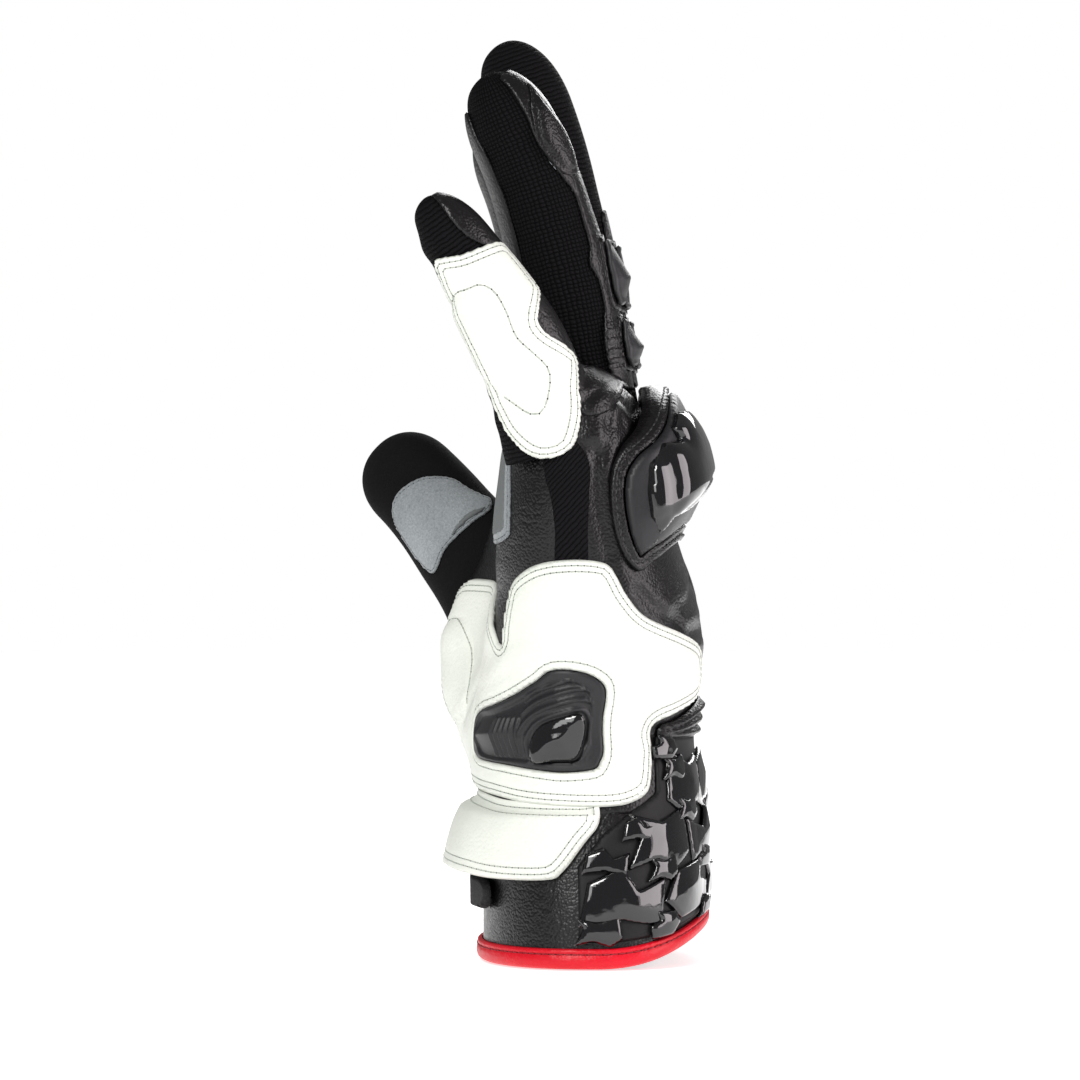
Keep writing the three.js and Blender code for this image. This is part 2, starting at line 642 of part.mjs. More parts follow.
add('little_finger', makeFinger('little'), MATERIALS.blackMesh);
add('ring_finger', makeFinger('ring', 'little'), MATERIALS.blackMesh);
add('middle_finger', makeFinger('middle', 'ring'), MATERIALS.blackMesh);
add('index_finger', makeFinger('index', 'middle'), MATERIALS.blackMesh);
add('thumb', makeFinger('thumb'), MATERIALS.blackMesh);

const littleHosts = [HAND, LIMBS.little];
const littlePatch = panel(littleHosts, LIMBS.little, lengthwise(LITTLE_PATCH), 4, LITTLE_PATCH.length - 1);
add('little_finger_patch', littlePatch, MATERIALS.whiteLeather);
const littleBack = panel([LIMBS.little], LIMBS.little, lengthwise(LITTLE_BACK), 3, LITTLE_BACK.length - 1);
add('little_back', littleBack, MATERIALS.blackLeather);
for (const name of ['ring', 'middle', 'index']) {
  const limb = LIMBS[name];
  const backRows = name === 'ring' ? FINGER_BACK : SHORT_BACK;
  const back = panel([limb], limb, lengthwise(backRows), 4, backRows.length - 1);
  add(`${name}_back`, back, MATERIALS.blackLeather);
  const palm = panel([limb], limb, lengthwise(FINGER_PALM), 4, FINGER_PALM.length - 1);
  add(`${name}_palm`, palm, MATERIALS.blackLeather);
  for (const [place, rows] of Object.entries(GUARDS)) {
    add(`${name}_guard_${place}`, makeGuard(name, rows), MATERIALS.rubber);
  }
}

const thumbPatch = panel([LIMBS.thumb], LIMBS.thumb, lengthwise(THUMB_PATCH), 4, THUMB_PATCH.length - 1);
add('thumb_patch', thumbPatch, MATERIALS.suede);
const palmStrip = panel([HAND], HAND, lengthwise(PALM_STRIP), 2, PALM_STRIP.length - 1);
add('palm_strip', palmStrip, MATERIALS.suede);
add('palm_heel_patch', makeHeelPatch(), MATERIALS.whiteLeather);
add('palm_slider', makeSlider(), MATERIALS.rubber);

add('knuckle_guard', knuckleBlock(0).subtract(SEATED_FORM), MATERIALS.rubber);
add('knuckle_shell_outer', makeKnuckleShell(1), MATERIALS.gloss);
add('knuckle_shell_inner', makeKnuckleShell(-1), MATERIALS.gloss);

add('wrist_pleats', makePleats(), MATERIALS.blackLeather);
const cuffGuard = panel([HAND], HAND, lengthwise(CUFF_GUARD), 10, CUFF_GUARD.length - 1);
add('cuff_guard', cuffGuard, MATERIALS.gloss);
let shards = 0;
for (const { at, tall, reach, count } of SHARD_ROWS) {
  for (let i = 0; i < count; i += 1) {
    shards += 1;
    const angle = lerp(-reach, reach, i / (count - 1));
    const lean = shards % 2 === 1 ? SHARD.lean : -SHARD.lean;
    add(`cuff_shard_${shards}`, makeShard(angle, at, tall, lean), MATERIALS.gloss);
  }
}

add('wrist_strap', makeStrap(), MATERIALS.whiteLeather);
const hookPatch = panel([HAND], HAND, crosswise(HOOK_PATCH), 3, 1, HOOK_THICK);
add('strap_hook', hookPatch, MATERIALS.blackMesh);

export default glove;
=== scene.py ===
"""A motorcycle glove for the left hand, standing on its cuff: the fine surface over its solid parts.

A place on the glove is given as in a tailor's chart: an angle round a limb in degrees (0 the back of the
hand, 90 the little finger's side, 180 the palm, 270 the thumb's side) and a share along it from the
wrist's end to the tip. Lengths are millimetres until a vertex is placed, where MM makes them metres.
"""
import math

import bmesh
import bpy
from mathutils import Matrix, Vector, noise
from mathutils.bvhtree import BVHTree
from mathutils.kdtree import KDTree


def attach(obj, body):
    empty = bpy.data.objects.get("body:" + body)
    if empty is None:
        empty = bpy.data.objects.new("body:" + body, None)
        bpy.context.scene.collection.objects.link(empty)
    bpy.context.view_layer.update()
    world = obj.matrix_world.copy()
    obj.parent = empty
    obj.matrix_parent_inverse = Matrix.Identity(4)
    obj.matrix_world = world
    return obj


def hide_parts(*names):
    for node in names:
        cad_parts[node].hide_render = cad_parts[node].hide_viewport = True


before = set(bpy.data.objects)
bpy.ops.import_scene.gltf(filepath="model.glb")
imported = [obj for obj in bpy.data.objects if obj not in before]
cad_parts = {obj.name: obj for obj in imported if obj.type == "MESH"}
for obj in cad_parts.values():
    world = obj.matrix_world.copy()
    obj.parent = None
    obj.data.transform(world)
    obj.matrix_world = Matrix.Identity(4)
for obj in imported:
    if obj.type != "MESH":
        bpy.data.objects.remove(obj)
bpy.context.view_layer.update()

MM = 0.001

# The glove's sizes, as in its solid parts.
BODY_LENGTH = 148
PALM_WIDTH = 96
CUFF_DEPTH = 59
RIM_RISE = 9
RIM_DROP = 2.6
FINGER_DEPTH = 27
FINGER_WIDTH = 23.5
WALL = 1.8
PANEL = 1.5
KNUCKLE_RISE = 9
GUARD_RISE = 3.2
WRIST = 0.245
SQUARE_HAND = 2.35
SQUARE_FINGER = 2.3
TIP = 0.82  # share along a finger where its end starts to round off

# at, then shares of CUFF_DEPTH: x, deep; wide of PALM_WIDTH; cup, thenar of CUFF_DEPTH; rim.
HAND_SECTIONS = [
    (0, -0.018, 0.965, 1, 0, 0, 1),
    (0.07, -0.015, 0.97, 0.99, 0, 0, 0.67),
    (0.155, -0.02, 0.97, 0.95, 0, 0, 0.23),
    (0.245, -0.032, 0.96, 0.885, 0, 0.01, 0),
    (0.36, -0.06, 0.942, 0.823, 0, 0.1, 0),
    (0.44, -0.04, 0.963, 0.865, 0.03, 0.2, 0),
    (0.515, -0.024, 0.976, 0.917, 0.07, 0.225, 0),
    (0.595, -0.029, 0.929, 0.969, 0.085, 0.19, 0),
    (0.67, -0.056, 0.868, 0.99, 0.085, 0.1, 0),
    (0.77, -0.08, 0.773, 1, 0.07, 0.025, 0),
    (0.858, -0.083, 0.678, 0.99, 0.03, 0, 0),
    (0.92, -0.085, 0.586, 0.958, 0, 0, 0),
    (0.97, -0.088, 0.43, 0.89, 0, 0, 0),
    (1, -0.092, 0.2, 0.77, 0, 0, 0),
]
CUP = (184, 22)
THENAR = (212, 24)

# length; root x, y, z; deep, wide; tilt, bend, curl, splay; taper.
FINGERS = {
    "little": (80, -0.136, -0.375, 0.811, 1.03, 0.915, 19, 13, 4, -7, 0.45),
    "ring": (109, 0.01, -0.13, 0.807, 0.89, 0.98, 10, 6, 9, -1.5, 0.05),
    "middle": (118, 0.018, 0.125, 0.809, 0.95, 1.02, 9.1, 2, 9, 1, 0.06),
    "index": (104, 0, 0.375, 0.804, 0.93, 0.98, 10.5, 4, 8, 5, 0.06),
    "thumb": (80.5, -0.268, 0.3, 0.459, 1.11, 1.106, 26.5, 12, 8, 22, 0.1),
}
# at, deep, wide
FINGER_SECTIONS = [
    (0, 1.04, 1), (0.33, 1, 0.98), (0.5, 1.02, 1), (0.66, 0.97, 0.97), (TIP, 0.95, 0.95), (1, 0.95, 0.95),
]


def smoothstep(value, low, high):
    share = min(1.0, max(0.0, (value - low) / (high - low)))
    return share * share * (3 - 2 * share)


def lerp(low, high, share):
    return low + (high - low) * share


def curve_through(rows, steps=300):
    """A reader of a table (place, values...) along a smooth curve that never swings past its rows."""
    places = [row[0] for row in rows]
    count = len(rows[0]) - 1
    last = len(rows) - 1
    tangents = []
    for k in range(count):
        values = [row[k + 1] for row in rows]
        steep = [(values[i + 1] - values[i]) / (places[i + 1] - places[i]) for i in range(last)]
        tangent = [steep[0]]
        for low, high in zip(steep, steep[1:]):
            tangent.append(0 if low * high <= 0 else 2 * low * high / (low + high))
        tangents.append(tangent + [steep[-1]])

    def exact(place):
        i = max(j for j in range(last) if j == 0 or places[j] <= place)
        gap = places[i + 1] - places[i]
        t = (place - places[i]) / gap
        result = []
        for k in range(count):
            low, high = rows[i][k + 1], rows[i + 1][k + 1]
            start, end = tangents[k][i] * gap, tangents[k][i + 1] * gap
            bend = 2 * t**3 - 3 * t**2
            slopes = start * (t**3 - 2 * t**2 + t) + end * (t**3 - t**2)
            result.append(low * (bend + 1) - high * bend + slopes)
        return result

    samples = [exact(lerp(places[0], places[-1], i / steps)) for i in range(steps + 1)]

    def read(place):
        where = min(1.0, max(0.0, (place - places[0]) / (places[-1] - places[0]))) * steps
        i = min(int(where), steps - 1)
        share = where - i
        return [lerp(low, high, share) for low, high in zip(samples[i], samples[i + 1])]

    return read


def squared(value, power):
    return math.copysign(abs(value) ** (2 / power), value)


def swelling(angle, middle, spread):
    away = (angle - middle + 180) % 360 - 180
    return math.exp(-((away / spread) ** 2))


hand_section = curve_through(HAND_SECTIONS)
finger_section = curve_through(FINGER_SECTIONS)


def hand(angle, at, offset=0.0):
    """A point on the hand, in millimetres."""
    x, deep, wide, cup, thenar, rim = hand_section(at)
    turn = math.radians(angle)
    back = max(0.0, math.cos(turn))
    hollow = cup * swelling(angle, *CUP) - thenar * swelling(angle, *THENAR)
    return Vector((
        (x + hollow) * CUFF_DEPTH + (deep * CUFF_DEPTH / 2 + offset) * squared(math.cos(turn), SQUARE_HAND),
        -(wide * PALM_WIDTH / 2 + offset) * squared(math.sin(turn), SQUARE_HAND),
        at * BODY_LENGTH + rim * (RIM_RISE * back**2 - RIM_DROP) + offset * smoothstep(at, 0.9, 1),
    ))


def finger_surface(length, x, y, z, deep, wide, tilt, bend, curl, splay, taper):
    """A finger's surface as a function of angle, share along and offset."""
    steps = 60
    fan = math.radians(splay)

    def axes(at):
        lean = math.radians(tilt + bend * smoothstep(at, 0.3, 0.6) + curl * smoothstep(at, 0.62, 0.87))
        along = Vector((-math.sin(lean) * math.cos(fan), math.sin(fan), math.cos(lean) * math.cos(fan)))
        return along, Vector((math.cos(lean), 0, math.sin(lean)))

    centres = [Vector((x * CUFF_DEPTH, y * PALM_WIDTH, z * BODY_LENGTH))]
    for i in range(steps):
        centres.append(centres[-1] + axes((i + 0.5) / steps)[0] * (length / steps))

    def surface(angle, at, offset=0.0):
        place = min(max(at, 0), 1) * steps
        low = min(int(place), steps - 1)
        along, back = axes(at)
        section = finger_section(at)
        tip = math.sqrt(max(0.0, 1 - max(0.0, (min(at, 1) - TIP) / (1 - TIP)) ** 2.3))
        half_deep = deep * FINGER_DEPTH * section[0] * (1 - taper * at) / 2 * tip
        half_wide = wide * FINGER_WIDTH * section[1] * (1 - taper * at / 2) / 2 * tip
        turn = math.radians(angle)
        point = centres[low].lerp(centres[low + 1], place - low)
        point = point + back * (half_deep + offset * min(1, tip * 2)) * squared(math.cos(turn), SQUARE_FINGER)
        side = back.cross(along) * (half_wide + offset * min(1, tip * 2))
        point = point + side * squared(math.sin(turn), SQUARE_FINGER)
        return point + along * offset * smoothstep(at, 0.9, 1)

    return surface


LIMBS = {name: finger_surface(*values) for name, values in FINGERS.items()}
LIMBS["hand"] = hand
LENGTHS = {name: values[0] for name, values in FINGERS.items()}
LENGTHS["hand"] = BODY_LENGTH


def new_piece(name, bm, materials, stands_for=(), slot=None):
    """The mesh as an object that rides on the glove and, where told, stands for its solid parts."""
    mesh = bpy.data.meshes.new(name)
    for face in bm.faces:
        face.smooth = True
    bm.to_mesh(mesh)
    bm.free()
    piece = bpy.data.objects.new(name, mesh)
    bpy.context.scene.collection.objects.link(piece)
    for material in materials:
        mesh.materials.append(material)
    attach(piece, "root")
    if stands_for:
        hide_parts(*stands_for)
    return piece


def thicken(piece, thickness):
    """Wall the piece inwards."""
    wall = piece.modifiers.new("wall", "SOLIDIFY")
    wall.thickness = thickness * MM
    wall.offset = -1.0
    return piece


def bent_grid(columns, rows, place, chart):
    """A flat grid bent into shape. place gives a point for (u, v); chart gives its weave coordinates."""
    bm = bmesh.new()
    bmesh.ops.create_grid(bm, x_segments=columns, y_segments=rows, size=0.5)
    weave = bm.loops.layers.uv.new("weave")
    for face in bm.faces:
        for loop in face.loops:
            loop[weave].uv = chart(loop.vert.co.x + 0.5, loop.vert.co.y + 0.5)
    for vert in bm.verts:
        vert.co = place(vert.co.x + 0.5, vert.co.y + 0.5) * MM
    bmesh.ops.remove_doubles(bm, verts=bm.verts, dist=0.00002)
    bmesh.ops.recalc_face_normals(bm, faces=bm.faces)
    return bm


class Chart:
    """A limb laid flat: across is millimetres round it at a middle section, up is millimetres along it."""

    def __init__(self, limb, middle, hosts=None):
        self.surface = LIMBS[limb]
        self.length = LENGTHS[limb]
        self.angles = [-180 + i for i in range(581)]
        self.across = [0.0]
        points = [self.surface(angle, middle) for angle in self.angles]
        for low, high in zip(points, points[1:]):
            self.across.append(self.across[-1] + (high - low).length)
        self.tree = None
        if hosts:
            joined = bmesh.new()
            for host in hosts:
                form = limb_form(host)
                mesh = bpy.data.meshes.new("host")
                form.to_mesh(mesh)
                form.free()
                joined.from_mesh(mesh)
                bpy.data.meshes.remove(mesh)
            self.tree = BVHTree.FromBMesh(joined)
            joined.free()

    def flat(self, angle, at):
        place = min(max(angle + 180, 0), 579.999)
        low = int(place)
        return Vector((lerp(self.across[low], self.across[low + 1], place - low), at * self.length, 0))

    def unflat(self, point):
        low, high = 0, len(self.across) - 1
        while high - low > 1:
            middle = (low + high) // 2
            if self.across[middle] <= point.x:
                low = middle
            else:
                high = middle
        share = (point.x - self.across[low]) / (self.across[high] - self.across[low])
        return self.angles[low] + share, point.y / self.length

    def spot(self, point):
        """The place on the glove, in metres, of a point of the flat chart."""
        angle, at = self.unflat(point)
        if self.tree:
            start = self.surface(angle, at, 16) * MM
            way = (self.surface(angle, at, -4) * MM - start).normalized()
            hit = self.tree.ray_cast(start, way)[0]
            if hit:
                return hit
        return self.surface(angle, at) * MM


def limb_form(limb):
    """A closed limb, to be looked at from outside."""
    surface = LIMBS[limb]
    return bent_grid(72, 90, lambda u, v: surface(360 * u, 1 - (1 - v) ** 1.4), lambda u, v: (u, v))


def rounded(points, steps=10, closed=True):
    """A smooth loop or line through the points, as points close together."""
    count = len(points)
    result = []
    for i in range(count if closed else count - 1):
        if closed:
            a, b, c, d = (points[(i + k) % count] for k in (-1, 0, 1, 2))
        else:
            a, b, c, d = (points[min(max(i + k, 0), count - 1)] for k in (-1, 0, 1, 2))
        for step in range(steps):
            t = step / steps
            square = (2 * a - 5 * b + 4 * c - d) * t**2
            cube = (3 * b - a - 3 * c + d) * t**3
            result.append(0.5 * ((2 * b) + (c - a) * t + square + cube))
    if not closed:
        result.append(points[-1])
    return result


def evenly(path, gap, closed):
    """The path again as points at even gaps."""
    path = path + [path[0]] if closed else path
    total = sum((b - a).length for a, b in zip(path, path[1:]))
    count = max(2, round(total / gap))
    step = total / count
    result, wanted, gone = [], 0.0, 0.0
    for a, b in zip(path, path[1:]):
        length = (b - a).length
        while wanted <= gone + length and length > 0 and len(result) < count:
            result.append(a.lerp(b, (wanted - gone) / length))
            wanted += step
        gone += length
    return result


def inside(loop, x, y):
    within = False
    j = len(loop) - 1
    for i, corner in enumerate(loop):
        other = loop[j]
        if (corner.y > y) != (other.y > y):
            if x < (other.x - corner.x) * (y - corner.y) / (other.y - corner.y) + corner.x:
                within = not within
        j = i
    return within


def tree_of(points):
    tree = KDTree(len(points))
    for i, point in enumerate(points):
        tree.insert(point, i)
    tree.balance()
    return tree


def inset(loop, depth):
    """The closed loop moved inwards by depth, with what folds over itself left out."""
    tree = tree_of(loop)
    count = len(loop)
    turn = sum(a.x * b.y - b.x * a.y for a, b in zip(loop, loop[1:] + loop[:1]))
    side = 1 if turn > 0 else -1
    result = []
    for i in range(count):
        tangent = (loop[(i + 2) % count] - loop[i - 2]).normalized()
        point = loop[i] + Vector((-tangent.y, tangent.x, 0)) * depth * side
        if tree.find(point)[2] > depth * 0.94:
            result.append(point)
    return result


class Patch:
    """Leather or a moulding laid on the glove inside an outline of chart places (angle, at)."""

    def __init__(self, name, chart, outline, height, pitch=1.0, holes=(), soften=2, hard=False):
        self.chart = chart
        self.loop = evenly(rounded([chart.flat(*place) for place in outline], 1 if hard else 10), 0.4, True)
        self.holes = [evenly(rounded([chart.flat(*place) for place in hole]), 0.4, True) for hole in holes]
        self.edges = tree_of(self.loop + [point for hole in self.holes for point in hole])
        self.fence = self.loop if hard else self.loop[::4]
        bm = bmesh.new()
        low = Vector((min(p.x for p in self.loop), min(p.y for p in self.loop), 0))
        size = Vector((max(p.x for p in self.loop), max(p.y for p in self.loop), 0)) - low
        columns, rows = max(3, round(size.x / pitch)), max(3, round(size.y / pitch))
        bmesh.ops.create_grid(bm, x_segments=columns, y_segments=rows, size=0.5)
        for vert in bm.verts:
            vert.co = (low.x + (vert.co.x + 0.5) * size.x, low.y + (vert.co.y + 0.5) * size.y, 0)
        bmesh.ops.reverse_faces(bm, faces=bm.faces)
        outside = [face for face in bm.faces if not self.holds(face.calc_center_median())]
        bmesh.ops.delete(bm, geom=outside, context="FACES")
        for _ in range(2):
            corners = [vert for vert in bm.verts if vert.is_boundary and len(vert.link_faces) == 1]
            spare = [vert.link_faces[0] for vert in corners if self.edges.find(vert.co)[2] > pitch * 0.75]
            bmesh.ops.delete(bm, geom=list(set(spare)), context="FACES")
        for vert in bm.verts:
            if vert.is_boundary:
                vert.co = self.edges.find(vert.co)[0]
        bmesh.ops.remove_doubles(bm, verts=bm.verts, dist=pitch * 0.2)
        inner = [vert for vert in bm.verts if not vert.is_boundary]
        inner = [vert for vert in inner if self.edges.find(vert.co)[2] < 2.5 * pitch]
        for _ in range(3):
            bmesh.ops.smooth_vert(bm, verts=inner, factor=0.5, use_axis_x=True, use_axis_y=True)
        weave = bm.loops.layers.uv.new("weave")
        flats = {vert: vert.co.copy() for vert in bm.verts}
        for face in bm.faces:
            for loop in face.loops:
                loop[weave].uv = loop.vert.co.xy
        for vert in bm.verts:
            vert.co = chart.spot(vert.co)
        if chart.tree:
            axes = {"use_axis_x": True, "use_axis_y": True, "use_axis_z": True}
            for _ in range(soften):
                bmesh.ops.smooth_vert(bm, verts=bm.verts, factor=0.5, **axes)
        bm.normal_update()
        moves = {}
        for vert in bm.verts:
            angle, at = chart.unflat(flats[vert])
            moves[vert] = vert.normal * height(self.edges.find(flats[vert])[2], angle, at) * MM
        for vert, move in moves.items():
            vert.co += move
        bm.normal_update()
        self.top = BVHTree.FromBMesh(bm)
        self.bm = bm
        self.name = name

    def holds(self, point):
        if not inside(self.fence, point.x, point.y):
            return False
        return not any(inside(hole[::4], point.x, point.y) for hole in self.holes)

    def piece(self, materials, thickness, **words):
        return thicken(new_piece(self.name, self.bm, materials, **words), thickness)

    def seated(self, point):
        """The place and normal on the patch's top of a point of the flat chart."""
        angle, at = self.chart.unflat(point)
        start = self.chart.surface(angle, at, 22) * MM
        way = (self.chart.surface(angle, at, -3) * MM - start).normalized()
        place, normal, _, _ = self.top.ray_cast(start, way)
        return (place, normal) if place else None

    def row(self, depth):
        """A closed line inside the outline."""
        return inset(self.loop, depth), True

    def line(self, places, closed=False):
        return rounded([self.chart.flat(*place) for place in places], 10, closed), closed


def sew(name, patch, lines, materials, pitch=2.0, thread=0.3, lift=0.05):
    """Stitches along lines of the flat chart: a thread from each needle hole to the next, and a flat dark disc of
    painted shade at each hole.
    """
    bm = bmesh.new()
    for path, closed in lines:
        spots = [patch.seated(point) for point in evenly(path, pitch, closed)]
        ends = spots[1:] + spots[:1] if closed else spots[1:]
        for here, there in zip(spots, ends):
            if not here or not there or (there[0] - here[0]).length > 2.5 * pitch * MM:
                continue
            along = (there[0] - here[0]).normalized()
            up = (here[1] + there[1]).normalized()
            side = up.cross(along).normalized()
            turn = Matrix((along, side, along.cross(side))).transposed().to_4x4()
            middle = (here[0] + there[0]) / 2 + up * lift * MM
            long = (there[0] - here[0]).length * 0.42
            shape = Matrix.Diagonal((long, thread * MM, thread * MM * 0.8, 1))
            bmesh.ops.create_uvsphere(
                bm, u_segments=6, v_segments=4, radius=1, matrix=Matrix.Translation(middle) @ turn @ shape
            )
            # no hole is cut here: a flat dark disc at the needle hole is painted shade
            hole = Matrix.Translation(here[0] + up * 0.04 * MM) @ turn
            count = len(bm.faces)
            bmesh.ops.create_circle(bm, cap_ends=True, segments=6, radius=thread * 1.05 * MM, matrix=hole)
            bm.faces.ensure_lookup_table()
            for face in bm.faces[count:]:
                face.material_index = 1
    return new_piece(name, bm, materials)


# Materials.


def node(tree, kind, **values):
    made = tree.nodes.new(kind)
    for key, value in values.items():
        if hasattr(made, key):
            setattr(made, key, value)
        else:
            made.inputs[key.replace("_", " ")].default_value = value
    return made


def group(name, inputs, outputs):
    """An empty shader group with named sockets."""
    tree = bpy.data.node_groups.new(name, "ShaderNodeTree")
    for socket, kind, value in inputs:
        made = tree.interface.new_socket(name=socket, in_out="INPUT", socket_type=kind)
        if value is not None:
            made.default_value = value
    for socket, kind in outputs:
        tree.interface.new_socket(name=socket, in_out="OUTPUT", socket_type=kind)
    return tree, tree.nodes.new("NodeGroupInput"), tree.nodes.new("NodeGroupOutput")


def maths(tree, operation, a, b=None, c=None):
    made = tree.nodes.new("ShaderNodeMath")
    made.operation = operation
    for socket, value in zip(made.inputs, (a, b, c)):
        if value is None:
            continue
        if isinstance(value, (int, float)):
            socket.default_value = value
        else:
            tree.links.new(value, socket)
    return made.outputs[0]


FLOAT, VECTOR = "NodeSocketFloat", "NodeSocketVector"


def grain_group():
    """Leather's grain: small cells, with long soft creases over them."""
    tree, given, out = group(
        "leather grain",
        [("Vector", VECTOR, None), ("Cell", FLOAT, 0.9), ("Crease", FLOAT, 0.5)],
        [("Height", FLOAT), ("Tone", FLOAT)],
    )
    link = tree.links.new
    scale = maths(tree, "DIVIDE", 1000.0, given.outputs["Cell"])
    cells = node(tree, "ShaderNodeTexVoronoi", feature="SMOOTH_F1", Smoothness=0.35)
    link(given.outputs["Vector"], cells.inputs["Vector"])
    link(scale, cells.inputs["Scale"])
    fold = node(tree, "ShaderNodeTexNoise", Scale=110.0, Detail=4.0, Roughness=0.55, Distortion=0.9)
    link(given.outputs["Vector"], fold.inputs["Vector"])
    cloud = node(tree, "ShaderNodeTexNoise", Scale=38.0, Detail=3.0)
    link(given.outputs["Vector"], cloud.inputs["Vector"])
    ridge = maths(tree, "ABSOLUTE", maths(tree, "SUBTRACT", fold.outputs["Fac"], 0.5))
    valley = maths(tree, "POWER", maths(tree, "SUBTRACT", 1.0, ridge), 7.0)
    creased = maths(tree, "MULTIPLY", valley, given.outputs["Crease"])
    pebbles = maths(tree, "MULTIPLY", cells.outputs["Distance"], -0.8)
    link(maths(tree, "SUBTRACT", pebbles, creased), out.inputs["Height"])
    link(cloud.outputs["Fac"], out.inputs["Tone"])
    return tree


def weave_group():
    """A weave of threads over and under: a checker of rounded floats, or ribs where Rib is 1. Its second output, light
    on the crests and dark in the gaps, is painted highlight and painted shade.
    """
    tree, given, out = group(
        "weave",
        [("Vector", VECTOR, None), ("Pitch", FLOAT, 1.1), ("Rib", FLOAT, 0.0), ("Slant", FLOAT, 0.0)],
        [("Height", FLOAT), ("Painted Crest Light", FLOAT)],
    )
    link = tree.links.new
    turned = tree.nodes.new("ShaderNodeVectorRotate")
    turned.rotation_type = "Z_AXIS"
    link(given.outputs["Vector"], turned.inputs["Vector"])
    link(given.outputs["Slant"], turned.inputs["Angle"])
    wobble = node(tree, "ShaderNodeTexNoise", Scale=0.35, Detail=2.0)
    link(given.outputs["Vector"], wobble.inputs["Vector"])
    drift = maths(tree, "MULTIPLY", maths(tree, "SUBTRACT", wobble.outputs["Fac"], 0.5), 0.9)
    parts = tree.nodes.new("ShaderNodeSeparateXYZ")
    link(turned.outputs[0], parts.inputs[0])
    turns = maths(tree, "DIVIDE", math.pi, given.outputs["Pitch"])

    def floats(axis):
        phase = maths(tree, "MULTIPLY", maths(tree, "ADD", parts.outputs[axis], drift), turns)
        return maths(tree, "ABSOLUTE", maths(tree, "SINE", phase))

    warp = floats(0)
    weft = floats(1)
    knots = maths(tree, "MULTIPLY", warp, weft)
    ribs = maths(tree, "MULTIPLY", weft, maths(tree, "MULTIPLY_ADD", warp, 0.25, 0.75))
    mixed = tree.nodes.new("ShaderNodeMix")
    link(given.outputs["Rib"], mixed.inputs[0])
    link(knots, mixed.inputs[2])
    link(ribs, mixed.inputs[3])
    link(mixed.outputs[0], out.inputs["Height"])
    # lighter on the raised crests and darker in the gaps: painted highlight and painted shade
    thread = maths(tree, "SMOOTH_MIN", maths(tree, "MULTIPLY", mixed.outputs[0], 1.4), 1.0, 0.2)
    link(thread, out.inputs["Painted Crest Light"])
    return tree


def nap_group():
    """The speckled nap of suede and the fine sparkle of a matte moulding."""
    tree, given, out = group(
        "nap", [("Vector", VECTOR, None), ("Fine", FLOAT, 2200.0)], [("Height", FLOAT), ("Speck", FLOAT)]
    )
    link = tree.links.new
    fine = node(tree, "ShaderNodeTexNoise", Detail=3.0, Roughness=0.7)
    link(given.outputs["Vector"], fine.inputs["Vector"])
    link(given.outputs["Fine"], fine.inputs["Scale"])
    broad = node(tree, "ShaderNodeTexNoise", Scale=45.0, Detail=3.0)
    link(given.outputs["Vector"], broad.inputs["Vector"])
    link(fine.outputs["Fac"], out.inputs["Height"])
    sparkle = maths(tree, "MULTIPLY", fine.outputs["Fac"], 0.9)
    speck = maths(tree, "MULTIPLY_ADD", broad.outputs["Fac"], 0.5, sparkle)
    link(speck, out.inputs["Speck"])
    return tree


GRAIN = grain_group()
WEAVE = weave_group()
NAP = nap_group()


def new_material(name, roughness, **sockets):
    material = bpy.data.materials.new(name)
    material.use_nodes = True
    tree = material.node_tree
    shader = tree.nodes["Principled BSDF"]
    shader.inputs["Roughness"].default_value = roughness
    for key, value in sockets.items():
        shader.inputs[key.replace("_", " ")].default_value = value
    return material, tree, shader


def place_group(tree, shared, source, **values):
    made = tree.nodes.new("ShaderNodeGroup")
    made.node_tree = shared
    tree.links.new(source, made.inputs["Vector"])
    for key, value in values.items():
        made.inputs[key].default_value = value
    return made


def tint(tree, shader, factor, dark, light, low=0.3, high=0.7):
    ramp = tree.nodes.new("ShaderNodeValToRGB")
    ramp.color_ramp.elements[0].position = low
    ramp.color_ramp.elements[1].position = high
    ramp.color_ramp.elements[0].color = (*dark, 1)
    ramp.color_ramp.elements[1].color = (*light, 1)
    tree.links.new(factor, ramp.inputs[0])
    tree.links.new(ramp.outputs[0], shader.inputs["Base Color"])


def raise_bump(tree, shader, height, distance):
    bump = tree.nodes.new("ShaderNodeBump")
    bump.inputs["Distance"].default_value = distance
    bump.inputs["Strength"].default_value = 1.0
    tree.links.new(height, bump.inputs["Height"])
    tree.links.new(bump.outputs[0], shader.inputs["Normal"])


def leather(name, dark, light, roughness, cell=0.85, crease=0.5, bump=0.00012, **sockets):
    material, tree, shader = new_material(name, roughness, **sockets)
    where = tree.nodes.new("ShaderNodeTexCoord").outputs["Object"]
    grain = place_group(tree, GRAIN, where, Cell=cell, Crease=crease)
    tint(tree, shader, grain.outputs["Tone"], dark, light)
    raise_bump(tree, shader, grain.outputs["Height"], bump)
    spread = maths(tree, "MULTIPLY_ADD", grain.outputs["Height"], 0.12, roughness + 0.05)
    tree.links.new(spread, shader.inputs["Roughness"])
    return material


def cloth(name, dark, light, pitch, rib=0.0, slant=0.0, bump=0.0003, roughness=0.8, low=0.1, high=0.75):
    material, tree, shader = new_material(name, roughness, Specular_IOR_Level=0.08)
    where = tree.nodes.new("ShaderNodeUVMap")
    where.uv_map = "weave"
    weave = place_group(tree, WEAVE, where.outputs[0], Pitch=pitch, Rib=rib, Slant=slant)
    # the cloth's colour follows the weave's height: painted highlight on the thread crests, painted shade in the gaps
    tint(tree, shader, weave.outputs["Painted Crest Light"], dark, light, low, high)
    raise_bump(tree, shader, weave.outputs["Height"], bump)
    return material


